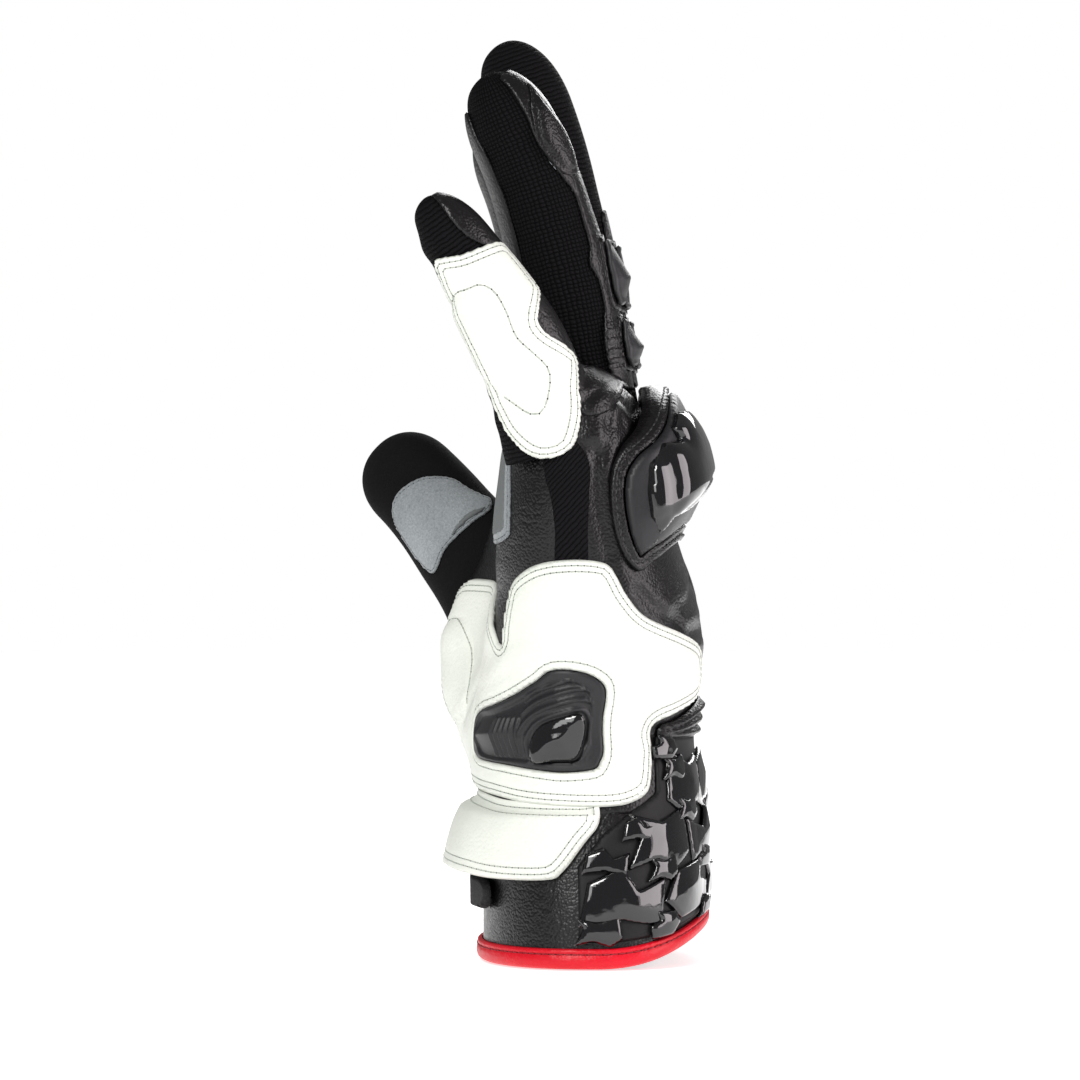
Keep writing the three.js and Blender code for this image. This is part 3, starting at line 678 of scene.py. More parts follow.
def moulded(name, dark, light, roughness, fine=2600.0, bump=0.00003, **sockets):
    material, tree, shader = new_material(name, roughness, **sockets)
    where = tree.nodes.new("ShaderNodeTexCoord").outputs["Object"]
    nap = place_group(tree, NAP, where, Fine=fine)
    tint(tree, shader, nap.outputs["Speck"], dark, light, 0.35, 0.95)
    raise_bump(tree, shader, nap.outputs["Height"], bump)
    return material


WHITE = leather(
    "white leather", (0.7, 0.73, 0.665), (0.78, 0.8, 0.74), 0.5, cell=0.8, crease=0.4, bump=0.00013,
)
BLACK = leather(
    "black leather", (0.003, 0.0027, 0.003), (0.006, 0.0052, 0.006), 0.38, cell=0.7, crease=0.5,
    bump=0.00016, Specular_IOR_Level=0.36,
)
RED = leather(
    "red leather", (0.55, 0.003, 0.012), (0.66, 0.005, 0.02), 0.42, cell=0.7, crease=0.3, bump=0.0001,
    Specular_IOR_Level=0.3,
)
LINING = leather("lining", (0.012, 0.012, 0.013), (0.02, 0.02, 0.021), 0.8)
# These cloths are black; their lighter colour on the thread crests is a painted highlight, and their darkest colour in
# the gaps is painted shade.
MESH = cloth("woven mesh", (0.0003, 0.0003, 0.0004), (0.0065, 0.006, 0.007), 1.1, bump=0.0004)
DIAGONAL = cloth(
    "diagonal knit", (0.0003, 0.0003, 0.0004), (0.0065, 0.006, 0.007), 1.15, rib=1.0, slant=0.7,
    bump=0.0004,
)
KNIT = cloth("ribbed knit", (0.0003, 0.0003, 0.0004), (0.006, 0.0056, 0.0065), 1.2, rib=1.0, bump=0.0005)
FELT = moulded(
    "thumb cloth", (0.0015, 0.0015, 0.0018), (0.005, 0.005, 0.0055), 0.95, 1800, 0.0001,
    Specular_IOR_Level=0.15,
)
SUEDE = moulded("suede", (0.1, 0.112, 0.12), (0.3, 0.325, 0.34), 0.95, 1900, 0.00015, Sheen_Weight=0.25)
INLAY = moulded("suede inlay", (0.1, 0.11, 0.11), (0.135, 0.145, 0.145), 0.85, 3000, 0.00005)
RUBBER = moulded(
    "moulded rubber", (0.009, 0.009, 0.0105), (0.016, 0.016, 0.018), 0.46, Specular_IOR_Level=0.4,
)
GLOSS = moulded(
    "gloss shell", (0.0035, 0.0035, 0.0045), (0.005, 0.005, 0.006), 0.05, 60, 0.0004, Coat_Weight=0.6,
    Coat_Roughness=0.03,
)
SATIN = moulded(
    "cuff sheet", (0.002, 0.002, 0.0022), (0.007, 0.007, 0.0078), 0.6, 2400, 0.00005,
    Specular_IOR_Level=0.3,
)
PILE = moulded("hook pile", (0.004, 0.004, 0.0045), (0.02, 0.02, 0.021), 0.9, 1500, 0.0005)
WHITE_THREAD = leather("white thread", (0.36, 0.39, 0.35), (0.46, 0.49, 0.44), 0.6)
BLACK_THREAD = leather("black thread", (0.01, 0.01, 0.011), (0.02, 0.02, 0.022), 0.55)
GREY_THREAD = leather("grey thread", (0.12, 0.13, 0.14), (0.2, 0.22, 0.23), 0.7)
RED_THREAD = leather("red thread", (0.22, 0.003, 0.01), (0.3, 0.005, 0.015), 0.6)
# Needle holes are not cut: these dark discs at each hole are painted shade.
PAINTED_HOLE_SHADE = leather("needle hole", (0.012, 0.015, 0.013), (0.018, 0.022, 0.02), 0.9)
PAINTED_DARK_HOLE_SHADE = leather("dark needle hole", (0.002, 0.002, 0.002), (0.003, 0.003, 0.003), 0.9)


# The glove's shell.


def tube(name, limb, start, end, columns, rows, materials, stands_for, slot, relief=None):
    """A limb's cover from one share along it to another, closed at its tip."""
    surface = LIMBS[limb]
    length = LENGTHS[limb]
    around = math.pi * FINGER_WIDTH if limb != "hand" else math.pi * (PALM_WIDTH + CUFF_DEPTH) / 2

    def share(v):
        return lerp(start, end, 1 - (1 - v) ** 1.4 if end == 1 else v)

    def place(u, v):
        angle, at = 360 * u - 90, share(v)
        if end == 1 and v > 0.999:
            return surface(0, 1).lerp(surface(180, 1), 0.5)
        return surface(angle, at, relief(angle, at) if relief else 0.0)

    bm = bent_grid(columns, rows, place, lambda u, v: (around * u, share(v) * length))
    piece = thicken(new_piece(name, bm, materials, stands_for, slot), WALL)
    piece.modifiers["wall"].material_offset = 1
    return piece


def groove(line, width, depth, chart):
    """A crease along a line of chart places, as a relief."""
    tree = tree_of(evenly(rounded([chart.flat(*place) for place in line], 8, False), 0.5, False))

    def relief(angle, at):
        away = tree.find(chart.flat(angle, at))[2]
        lip = 0.4 * depth * math.exp(-(((away - 2 * width) / width) ** 2))
        return -depth * math.exp(-((away / width) ** 2)) + lip

    return relief


HAND = Chart("hand", 0.55)
# Folds of the hand's leather: places, width, depth.
HAND_FOLDS = [
    ([(98, 0.93), (84, 0.965), (67, 0.944), (58, 0.95)], 1.6, 0.55),
    ([(88, 0.86), (76, 0.85), (70, 0.9), (64, 0.96)], 1.8, 0.45),
    ([(60, 0.99), (54, 0.95), (44, 0.93), (30, 0.945)], 1.6, 0.45),
    ([(78, 0.92), (66, 0.9), (56, 0.9)], 2.0, 0.35),
    ([(84, 0.6), (80, 0.68), (82, 0.78), (80, 0.86)], 2.2, 0.5),
    ([(40, 0.56), (58, 0.585), (66, 0.615)], 1.6, 0.5),
    ([(10, 0.63), (24, 0.6), (44, 0.575)], 2.0, 0.5),
    ([(0, 0.55), (30, 0.545), (50, 0.555)], 2.0, 0.45),
    ([(-60, 0.57), (-30, 0.6), (-8, 0.62)], 1.8, 0.6),
    ([(226, 0.62), (222, 0.7), (206, 0.78)], 2.0, 0.8),
    ([(236, 0.66), (238, 0.74), (226, 0.82)], 1.8, 0.6),
]
hand_grooves = [groove(line, width, depth, HAND) for line, width, depth in HAND_FOLDS]


def hand_relief(angle, at):
    near = angle % 360 if angle % 360 < 250 else angle % 360 - 360
    spot = hand(angle, at)
    waves = noise.noise(spot * 0.05) * 0.3 + noise.noise(spot * 0.12) * 0.1
    return waves + sum(relief(near, at) for relief in hand_grooves)


def sleeve_relief(angle, at):
    """Slack rolls across a finger's palm side."""
    return 0.2 * math.sin(at * 60) * smoothstep(at, 0.1, 0.3) * max(0.0, -math.cos(math.radians(angle)))


tube("hand_cover", "hand", WRIST - 0.01, 1, 220, 130, [BLACK, LINING], ["hand_shell"], "black_leather", hand_relief)
tube("cuff_cover", "hand", 0, WRIST, 200, 36, [BLACK, LINING], ["cuff_wall"], "black_leather")
tube("little_sleeve", "little", 0.1, 1, 72, 90, [KNIT, LINING], ["little_finger"], "black_mesh", sleeve_relief)
tube("ring_sleeve", "ring", 0.12, 1, 72, 100, [MESH, LINING], ["ring_finger"], "black_mesh", sleeve_relief)
tube("middle_sleeve", "middle", 0.12, 1, 72, 100, [KNIT, LINING], ["middle_finger"], "black_mesh", sleeve_relief)
tube("index_sleeve", "index", 0.1, 1, 72, 100, [MESH, LINING], ["index_finger"], "black_mesh", sleeve_relief)
tube("thumb_sleeve", "thumb", 0.15, 1, 80, 80, [FELT, LINING], ["thumb"], "black_mesh")


def edged(thick, roll=0.9, channel=0.0, channels=(), crown=0.0):
    """A sheet's height by how far in from its edge a place is, with stitched channels and a crown."""

    def height(away, angle, at):
        top = thick * (0.45 + 0.55 * math.sqrt(1 - (1 - min(1, away / roll)) ** 2))
        top += crown * smoothstep(away, 2, 9)
        for middle in channels:
            top -= channel * math.exp(-(((away - middle) / 0.45) ** 2))
        return top

    return height


def lengthwise(rows):
    """A table of (at, from, to) as an outline."""
    return [(row[2], row[0]) for row in rows] + [(row[1], row[0]) for row in reversed(rows)]


def crosswise(rows):
    """A table of (angle, from, to) as an outline."""
    return [(row[0], row[2]) for row in rows] + [(row[0], row[1]) for row in reversed(rows)]


def shrunk(chart, outline, depth):
    """An outline moved inwards by a length, or outwards where that is negative."""
    loop = inset(evenly(rounded([chart.flat(*place) for place in outline]), 0.4, True), depth)
    return [chart.unflat(point) for point in loop[::5]]


def line_tree(chart, places, closed):
    return tree_of(evenly(rounded([chart.flat(*place) for place in places], 8, closed), 0.4, closed))


# The white patch on the little finger, with a pad sewn inside it.
LITTLE = Chart("little", 0.4, ["hand", "little"])
LITTLE_OUTLINE = [
    (74, 0.1), (88, 0.082), (102, 0.086), (116, 0.106), (130, 0.146), (144, 0.21), (154, 0.3), (160, 0.4), (164, 0.5),
    (166, 0.62), (160, 0.72), (152, 0.79), (140, 0.83), (118, 0.822), (94, 0.8), (68, 0.785), (36, 0.77),
    (17, 0.75), (11, 0.7), (10, 0.63), (12, 0.572), (24, 0.548), (44, 0.52), (57, 0.488), (50, 0.445),
    (28, 0.39), (19, 0.348), (38, 0.268), (48, 0.205), (60, 0.15),
]
LITTLE_PAD = [
    (160, 0.67), (134, 0.7), (112, 0.694), (94, 0.684), (86, 0.64), (87, 0.57), (90, 0.49), (84, 0.43), (74, 0.368),
    (74, 0.335), (79, 0.3), (86, 0.262), (93, 0.234), (104, 0.244), (118, 0.29), (136, 0.34),
]
little_pad = line_tree(LITTLE, LITTLE_PAD, False)
little_pad_loop = rounded([LITTLE.flat(*place) for place in LITTLE_PAD + [(168, 0.5)]], 4)


def little_height(away, angle, at):
    spot = LITTLE.flat(angle, at)
    top = edged(PANEL, channel=0.25, channels=(1.6, 3.1))(away, angle, at)
    line = little_pad.find(spot)[2]
    top -= 0.4 * math.exp(-((line / 0.7) ** 2))
    if inside(little_pad_loop, spot.x, spot.y):
        top += 0.55 * smoothstep(line, 0, 4)
    return top + 0.12 * noise.noise(hand(angle, at) * 0.12)


little_patch = Patch("little_finger_patch_leather", LITTLE, LITTLE_OUTLINE, little_height, 0.7, soften=4)
little_rows = [little_patch.row(1.6), little_patch.row(3.1)]
sew("little_patch_stitches", little_patch, little_rows, [WHITE_THREAD, PAINTED_HOLE_SHADE], 1.7, 0.2)
sew("little_pad_stitches", little_patch, [little_patch.line(LITTLE_PAD)], [WHITE_THREAD, PAINTED_HOLE_SHADE], 2.0, 0.24)
little_patch.piece([WHITE], PANEL, stands_for=["little_finger_patch"], slot="white_leather")

LITTLE_BACK = [
    (-46, 0.22), (-46, 0.43), (-46, 0.6), (-48, 0.765), (-50, 0.9), (-36, 0.965), (0, 0.99), (55, 0.988), (76, 0.928),
    (76, 0.844), (58, 0.775), (30, 0.74), (24, 0.66), (30, 0.6), (60, 0.53), (66, 0.48), (52, 0.41), (34, 0.35),
    (48, 0.29), (56, 0.22), (48, 0.17), (20, 0.16), (-20, 0.19),
]
LITTLE_CREASES = [
    groove([(60, 0.205), (30, 0.225), (6, 0.235), (-20, 0.22)], 1.1, 0.4, LITTLE),
    groove([(50, 0.26), (20, 0.27), (-14, 0.262)], 1.2, 0.25, LITTLE),
]


def little_back_height(away, angle, at):
    folds = sum(crease(angle, at) for crease in LITTLE_CREASES)
    return edged(0.8)(away, angle, at) + folds


little_back = Patch("little_back_leather", LITTLE, LITTLE_BACK, little_back_height, 0.7)
little_back.piece([BLACK], 0.8, stands_for=["little_back"], slot="black_leather")

# The white patch at the heel of the palm, with the slider's window in it.
SLIDER_OUTLINE = [
    (88, 0.309), (99, 0.304), (112, 0.308), (130, 0.316), (146, 0.321), (158, 0.326), (163, 0.34), (162, 0.39),
    (155, 0.407), (140, 0.42), (126, 0.438), (114, 0.462), (108, 0.479), (100, 0.483), (91, 0.476), (86, 0.46),
    (84, 0.44), (84, 0.4), (83, 0.345), (85, 0.322),
]
HEEL_OUTLINE = [
    (60, 0.29), (64, 0.268), (72, 0.254), (82, 0.247), (96, 0.247), (120, 0.252), (142, 0.262), (168, 0.27),
    (192, 0.282), (204, 0.33), (209, 0.4), (214, 0.46), (217, 0.52), (215, 0.58), (210, 0.612), (202, 0.63),
    (192, 0.632), (181, 0.628), (170, 0.613), (158, 0.582), (149, 0.55), (143, 0.527), (139, 0.525), (138, 0.55),
    (136, 0.59), (133, 0.626), (124, 0.648), (112, 0.663), (98, 0.669), (88, 0.668), (81, 0.66), (78, 0.64),
    (75, 0.61), (68, 0.578), (58, 0.56), (42, 0.542), (28, 0.526), (23, 0.512), (18, 0.478), (17, 0.446),
    (22, 0.426), (40, 0.406), (54, 0.392), (58, 0.375), (57, 0.34),
]
HEEL_LEAF = [(212, 0.55), (203, 0.562), (197, 0.56), (192, 0.54), (187, 0.5), (184, 0.452), (184, 0.4)]
leaf_line = line_tree(HAND, HEEL_LEAF, False)
leaf_loop = rounded([HAND.flat(*place) for place in HEEL_LEAF + [(212, 0.4)]], 6)
slider_rim = line_tree(HAND, SLIDER_OUTLINE, True)
HEEL_CREASES = [
    groove([(158, 0.5), (130, 0.548), (104, 0.588), (84, 0.615)], 3.0, 0.35, HAND),
    groove([(150, 0.49), (126, 0.53), (96, 0.55)], 2.2, 0.22, HAND),
    groove([(196, 0.36), (176, 0.43), (166, 0.47)], 2.2, 0.4, HAND),
    groove([(186, 0.3), (170, 0.36), (166, 0.41)], 2.0, 0.3, HAND),
]


def heel_height(away, angle, at):
    spot = HAND.flat(angle, at)
    top = edged(PANEL, channel=0.25, channels=(1.5, 3.0))(away, angle, at)
    line = leaf_line.find(spot)[2]
    top -= 0.4 * math.exp(-((line / 0.7) ** 2))
    if inside(leaf_loop, spot.x, spot.y):
        top += 0.5 * smoothstep(line, 0, 4)
    window = slider_rim.find(spot)[2]
    top += 0.4 * smoothstep(window, 6, 1.4) - 0.3 * math.exp(-(((window - 1.9) / 0.5) ** 2))
    top += 0.22 * noise.noise(hand(angle, at) * 0.09)
    return top + sum(crease(angle, at) for crease in HEEL_CREASES)


heel = Patch("heel_patch_leather", HAND, HEEL_OUTLINE, heel_height, 0.8, holes=[SLIDER_OUTLINE])
window_row = inset(evenly(rounded([HAND.flat(*place) for place in SLIDER_OUTLINE], 8), 0.4, True), -1.9)
sew("heel_patch_stitches", heel, [heel.row(1.5), heel.row(3.0)], [WHITE_THREAD, PAINTED_HOLE_SHADE], 1.7, 0.2)
sew("slider_window_stitches", heel, [(window_row, True), heel.line(HEEL_LEAF)], [WHITE_THREAD, PAINTED_HOLE_SHADE], 1.8, 0.2)
heel.piece([WHITE], PANEL, stands_for=["palm_heel_patch"], slot="white_leather")

# The slider: a raised moulding with a glossy drop, ribs swept round it and upright ribs at its palm end.
SLIDER_INNER = [
    (90, 0.326), (104, 0.318), (120, 0.322), (154, 0.334), (155, 0.396), (140, 0.408), (126, 0.424), (114, 0.446),
    (106, 0.464), (97, 0.466), (91, 0.452), (89, 0.43), (88.5, 0.38),
]
DROP = [(93, 0.328), (102, 0.323), (112, 0.321), (113, 0.352), (109, 0.385), (101, 0.402), (91.5, 0.409), (90, 0.37)]
UPRIGHTS = {"from": 119, "to": 140, "count": 6, "low": 0.334, "high": 0.404, "lean": 0.0007}
slider_inner = rounded([HAND.flat(*place) for place in SLIDER_INNER], 6)
slider_inner_rim = tree_of(evenly(slider_inner, 0.3, True))
drop_loop = rounded([HAND.flat(*place) for place in DROP], 6)
drop_rim = tree_of(evenly(drop_loop, 0.3, True))


def slider_height(away, angle, at):
    spot = HAND.flat(angle, at)
    top = edged(PANEL + 0.3, roll=1.2, crown=2.2)(away, angle, at)
    if not inside(slider_inner, spot.x, spot.y):
        return top
    top -= 0.7 * smoothstep(slider_inner_rim.find(spot)[2], 0, 0.6)
    drop = drop_rim.find(spot)[2]
    if inside(drop_loop, spot.x, spot.y):
        return top
    if angle > UPRIGHTS["from"]:
        share = (angle - UPRIGHTS["from"]) / (UPRIGHTS["to"] - UPRIGHTS["from"])
        if share > 1:
            return top
        high = UPRIGHTS["high"] - (angle - UPRIGHTS["from"]) * UPRIGHTS["lean"] * 0.3
        ends = smoothstep(at, UPRIGHTS["low"] - 0.004, UPRIGHTS["low"]) * smoothstep(at, high, high - 0.004)
        return top + 0.8 * ends * max(0.0, math.sin(share * UPRIGHTS["count"] * 2 * math.pi)) ** 0.6
    return top + 0.85 * max(0.0, math.sin((drop - 0.5) / 2.4 * 2 * math.pi)) ** 0.6


slider = Patch("palm_slider_moulding", HAND, SLIDER_OUTLINE, slider_height, 0.36)
slider.piece([RUBBER], 1.6, stands_for=["palm_slider"], slot="moulded_rubber")


def drop_height(away, angle, at):
    return 3.3 + 1.1 * math.sqrt(min(1, away / 2.5)) + 0.5 * smoothstep(away, 2, 6)


Patch("slider_drop", HAND, DROP, drop_height, 0.5).piece([GLOSS], 1.2, slot="gloss")


# Fingers.


def sewn_sheet(name, chart, outline, thick, material, stands_for, slot, pitch=0.8, extra=None):
    """A thin leather laid on a limb."""
    flat = edged(thick, roll=0.7)

    def height(away, angle, at):
        return flat(away, angle, at) + (extra(away, angle, at) if extra else 0)

    patch = Patch(name, chart, outline, height, pitch)
    patch.piece([material], thick, stands_for=stands_for, slot=slot)
    return patch


def mirrored(outline, middle=0):
    return [(2 * middle - angle, at) for angle, at in outline]


RING_SIDE = [
    (50, 0.2), (59, 0.24), (60, 0.32), (54, 0.364), (48, 0.4), (49, 0.46), (57, 0.5), (48, 0.54), (46, 0.596), (45, 0.66),
    (57, 0.708), (67, 0.756), (73, 0.804), (71, 0.864), (70, 0.936), (60, 0.98),
]
SHORT_SIDE = [(30, 0.2), (34, 0.3), (36, 0.4), (37, 0.47), (30, 0.54), (18, 0.585)]
PALM_SIDE = [(150, 0.28), (138, 0.36), (134, 0.5), (134, 0.636), (135, 0.708), (137, 0.776), (141, 0.852), (158, 0.93)]
GUARDS = {
    "lower": [(0.25, 22, 0), (0.272, 29, 0.6), (0.293, 29, 1), (0.324, 27, 0.45), (0.363, 18, 0)],
    "upper": [(0.395, 22, 0), (0.428, 31, 0.6), (0.452, 31, 1), (0.495, 28, 0.5), (0.545, 16, 0)],
}
GUARD_SHARES = {"ring": 1, "middle": 0.15, "index": 0.4}
BASE_EDGE = 6  # degrees that a guard's leather shows beside it
BASE_END = 0.01  # share of the finger that it shows past its ends
PLEATED = (0.215, 0.364)
PLEAT_PITCH = 2.5


def straight_through(rows, place):
    """The second value of a table, in straight lines between its rows."""
    for low, high in zip(rows, rows[1:]):
        if place <= high[0]:
            return lerp(low[1], high[1], min(1, max(0, (place - low[0]) / (high[0] - low[0]))))
    return rows[-1][1]


def finger_back_height(name):
    scale = LENGTHS["ring"] / LENGTHS[name]

    def extra(away, angle, at):
        share = at / scale
        if PLEATED[0] < share < PLEATED[1]:
            wave = abs(math.sin(math.pi * (share - PLEATED[0]) * LENGTHS["ring"] / PLEAT_PITCH))
            ends = smoothstep(share, *PLEATED) * smoothstep(share, PLEATED[1], PLEATED[1] - 0.02)
            return 0.8 * wave**0.6 * min(1, ends * 4) * smoothstep(abs(angle), 24, 30)
        return 0.0

    return extra


for name in ("ring", "middle", "index"):
    chart = Chart(name, 0.4, ["hand", name])
    side = RING_SIDE if name == "ring" else SHORT_SIDE
    back = sewn_sheet(
        f"{name}_back_leather", chart, side + mirrored(side)[::-1], 0.9, BLACK, [f"{name}_back"], "black_leather",
        0.6 if name == "ring" else 0.8, finger_back_height(name),
    )
    sewn_sheet(
        f"{name}_palm_leather", chart, PALM_SIDE + mirrored(PALM_SIDE, 180)[::-1], 0.8, BLACK, [f"{name}_palm"],
        "black_leather",
    )
    for place, rows in GUARDS.items():
        scale = LENGTHS["ring"] / LENGTHS[name]
        scaled = [(at * scale, half, rise) for at, half, rise in rows]
        outline = lengthwise([(at, -half, half) for at, half, rise in scaled])
        widths = [(at, half) for at, half, rise in scaled]
        rises = [(at, rise) for at, half, rise in scaled]

        def guard_height(away, angle, at):
            across = min(1, abs(angle) / straight_through(widths, at))
            wedge = GUARD_RISE * GUARD_SHARES[name] * straight_through(rises, at) * (1 - across**1.5)
            return 1.9 + wedge + 0.4 * smoothstep(away, 0, 0.35) + 0.3 * smoothstep(away, 1.3, 0.9)

        guard = Patch(f"{name}_guard_{place}_moulding", chart, outline, guard_height, 0.5, soften=0, hard=True)
        guard.piece([RUBBER], 1.4, stands_for=[f"{name}_guard_{place}"], slot="moulded_rubber")
        base = [(at, -half - BASE_EDGE, half + BASE_EDGE) for at, half in widths]
        base[0] = (base[0][0] - BASE_END, *base[0][1:])
        base[-1] = (base[-1][0] + BASE_END, *base[-1][1:])
        base = lengthwise(base)
        sewn_sheet(f"{name}_guard_{place}_base", chart, base, 1.4, BLACK, (), "black_leather", 0.6)
    if name == "ring":
        LEAF = [
            (30, 0.936), (50, 0.9), (62, 0.87), (72, 0.804), (66, 0.756), (54, 0.716), (38, 0.706), (22, 0.712),
            (10, 0.744), (8, 0.8), (14, 0.83), (22, 0.856), (28, 0.9),
        ]

        def leaf_height(away, angle, at):
            return 1.3 + 0.9 * smoothstep(away, 0, 3.5) - 0.25 * math.exp(-(((away - 1.2) / 0.4) ** 2))

        leaf = Patch("ring_leaf_pad", chart, LEAF, leaf_height, 0.5)
        leaf.piece([BLACK], 1.2, slot="black_leather")
        tick = [(73, 0.806), (71, 0.78), (66, 0.752), (60, 0.726), (57, 0.7)]
        sew("ring_seam_stitches", back, [back.line(tick)], [GREY_THREAD, PAINTED_DARK_HOLE_SHADE], 1.5, 0.14)

# The palm, its strip and the mesh at the hand's side.
SIDE_MESH = [
    (112, 0.86), (110, 0.812), (105, 0.772), (103, 0.72), (104, 0.66), (97, 0.65), (90, 0.66), (88, 0.72),
    (86, 0.78), (86, 0.84), (96, 0.88),
]
sewn_sheet("side_mesh", HAND, SIDE_MESH, 0.45, DIAGONAL, (), "black_mesh")
PALM_STRIP = [
    (172, 0.706), (160, 0.696), (148, 0.697), (139, 0.704), (135, 0.718), (137, 0.772), (142, 0.82), (148, 0.87),
    (153, 0.892), (160, 0.892), (165, 0.86), (169, 0.82), (172, 0.77), (176, 0.73),
]


def suede_height(away, angle, at):
    return edged(0.9, roll=0.5, channel=0.2, channels=(1.0,))(away, angle, at)


strip = Patch("palm_strip_suede", HAND, PALM_STRIP, suede_height, 0.6)
sew("palm_strip_stitches", strip, [strip.row(1.0)], [GREY_THREAD, PAINTED_DARK_HOLE_SHADE], 1.5, 0.15)
strip.piece([SUEDE], 0.9, stands_for=["palm_strip"], slot="suede")
sewn_sheet("palm_strip_inlay", HAND, shrunk(HAND, PALM_STRIP, 2.2), 1.2, INLAY, (), "suede", 0.6)

THUMB = Chart("thumb", 0.6, ["thumb"])
THUMB_OUTLINE = [
    (30, 0.568), (39, 0.598), (48, 0.644), (53, 0.684), (65, 0.72), (82, 0.757), (98, 0.775), (115, 0.775),
    (132, 0.752), (146, 0.7), (150, 0.62), (148, 0.54), (143, 0.475), (131, 0.458), (108, 0.492), (89, 0.506),
    (69, 0.516), (46, 0.526),
]
THUMB_INLAY = [
    (104, 0.503), (97, 0.52), (90, 0.535), (75, 0.552), (60, 0.55), (44, 0.538), (58, 0.53), (74, 0.527),
    (92, 0.515),
]
THUMB_DENT = (96, 0.61)


def thumb_height(away, angle, at):
    dent = THUMB.flat(*THUMB_DENT)
    near = (THUMB.flat(angle, at) - dent).length
    return suede_height(away, angle, at) - 0.9 * math.exp(-((near / 4.5) ** 2)) + 0.3 * smoothstep(away, 0, 6)


thumb_patch = Patch("thumb_patch_suede", THUMB, THUMB_OUTLINE, thumb_height, 0.6)
sew("thumb_patch_stitches", thumb_patch, [thumb_patch.row(1.0)], [GREY_THREAD, PAINTED_DARK_HOLE_SHADE], 1.5, 0.15)
thumb_patch.piece([SUEDE], 0.9, stands_for=["thumb_patch"], slot="suede")
sewn_sheet("thumb_inlay", THUMB, THUMB_INLAY, 1.4, INLAY, (), "suede", 0.5)

# The knuckle armour: a stitched welt, a matt plate in it and two glossy shells.
KNUCKLES = [
    (-74, 0.7, 0.8, 0), (-66, 0.65, 0.855, 0.2), (-52, 0.668, 0.89, 0.7), (-35, 0.688, 0.935, 0.95),
    (-16, 0.7, 0.955, 0.93), (0, 0.7, 0.958, 1), (16, 0.7, 0.955, 0.93), (35, 0.688, 0.935, 0.95),
    (52, 0.668, 0.89, 0.7), (66, 0.65, 0.855, 0.2), (74, 0.7, 0.8, 0),
]
KNUCKLE_CLIMB = [(0, 0), (0.1, 0.25), (0.24, 0.72), (0.42, 1), (0.72, 0.97), (0.93, 0.82), (1, 0.22)]
WELT_WIDTH = 3.6
WELT_SEAM = 1.7  # how far in from its edge it is stitched
knuckle_row = curve_through(KNUCKLES)
knuckle_climb = curve_through(KNUCKLE_CLIMB)


def knuckle_top(angle, at):
    low, high, rise = knuckle_row(angle)
    return KNUCKLE_RISE * rise * knuckle_climb((at - low) / (high - low))[0]


def welt_height(away, angle, at):
    share = away / WELT_SEAM if away < WELT_SEAM else (away - WELT_SEAM) / (WELT_WIDTH - WELT_SEAM)
    return knuckle_top(angle, at) + 0.8 + 0.8 * math.sin(math.pi * share) ** 2


def plate_height(away, angle, at):
    return knuckle_top(angle, at) + 1.3 + 0.9 * smoothstep(away, 0, 0.8)


KNUCKLE_OUTLINE = crosswise(KNUCKLES)
plate_outline = shrunk(HAND, KNUCKLE_OUTLINE, WELT_WIDTH)
welt = Patch("knuckle_welt", HAND, KNUCKLE_OUTLINE, welt_height, 0.7, holes=[plate_outline])
sew("knuckle_welt_stitches", welt, [welt.row(WELT_SEAM)], [BLACK_THREAD, PAINTED_DARK_HOLE_SHADE], 2.0, 0.28)
welt.piece([BLACK], 1.2, slot="black_leather")
plate = Patch("knuckle_plate", HAND, plate_outline, plate_height, 0.8)
plate.piece([RUBBER], 1.6, stands_for=["knuckle_guard"], slot="moulded_rubber")

SHELL_OUTLINE = [
    (36, 0.902), (43, 0.88), (41, 0.86), (50, 0.858), (58, 0.826), (60, 0.78), (60, 0.736), (56, 0.706),
    (59, 0.684), (50, 0.728), (29, 0.752), (12, 0.77), (5, 0.79), (4, 0.83), (5, 0.87), (12, 0.895), (22, 0.905),
]
SHELL_CHANNEL = [(57, 0.72), (53, 0.75), (52, 0.8), (53, 0.84)]
shell_channel = line_tree(HAND, SHELL_CHANNEL, False)
shell_step = line_tree(HAND, [(56, 0.706), (40, 0.75), (20, 0.79), (6, 0.8)], False)


def shell_height(away, angle, at):
    spot = HAND.flat(abs(angle), at)
    dome = (1 - (1 - min(1, away / 7.5)) ** 2) ** 0.5
    top = knuckle_top(angle, at) + 2.3 + 0.5 * smoothstep(away, 0, 0.4) + 3.1 * dome
    top -= 1.3 * math.exp(-((shell_channel.find(spot)[2] / 1.8) ** 2))
    return top - 0.8 * math.exp(-((shell_step.find(spot)[2] / 0.6) ** 2))


for name, outline in (("outer", SHELL_OUTLINE), ("inner", mirrored(SHELL_OUTLINE))):
    shell = Patch(f"knuckle_shell_{name}_gloss", HAND, outline, shell_height, 0.6, hard=True)
    shell.piece([GLOSS], 1.6, stands_for=[f"knuckle_shell_{name}"], slot="gloss")

# The wrist: pleats, the cuff's guard and its shards.
WRIST_PLEATS = [
    (-58, 0.36, 0.388), (-40, 0.36, 0.42), (0, 0.36, 0.43), (12, 0.36, 0.425), (40, 0.36, 0.395), (52, 0.36, 0.384),
]
PLEAT_RISE = 1.8
pleat_row = curve_through(WRIST_PLEATS)


def pleat_height(away, angle, at):
    low, high = pleat_row(angle)
    share = (at - low) / (high - low)
    return 0.9 + PLEAT_RISE * abs(math.sin(math.pi * 3 * share)) ** 0.7 * smoothstep(away, 0, 1.5)


pleats = Patch("wrist_pleat_leather", HAND, crosswise(WRIST_PLEATS), pleat_height, 0.5)
pleats.piece([BLACK], 0.9, stands_for=["wrist_pleats"], slot="black_leather")

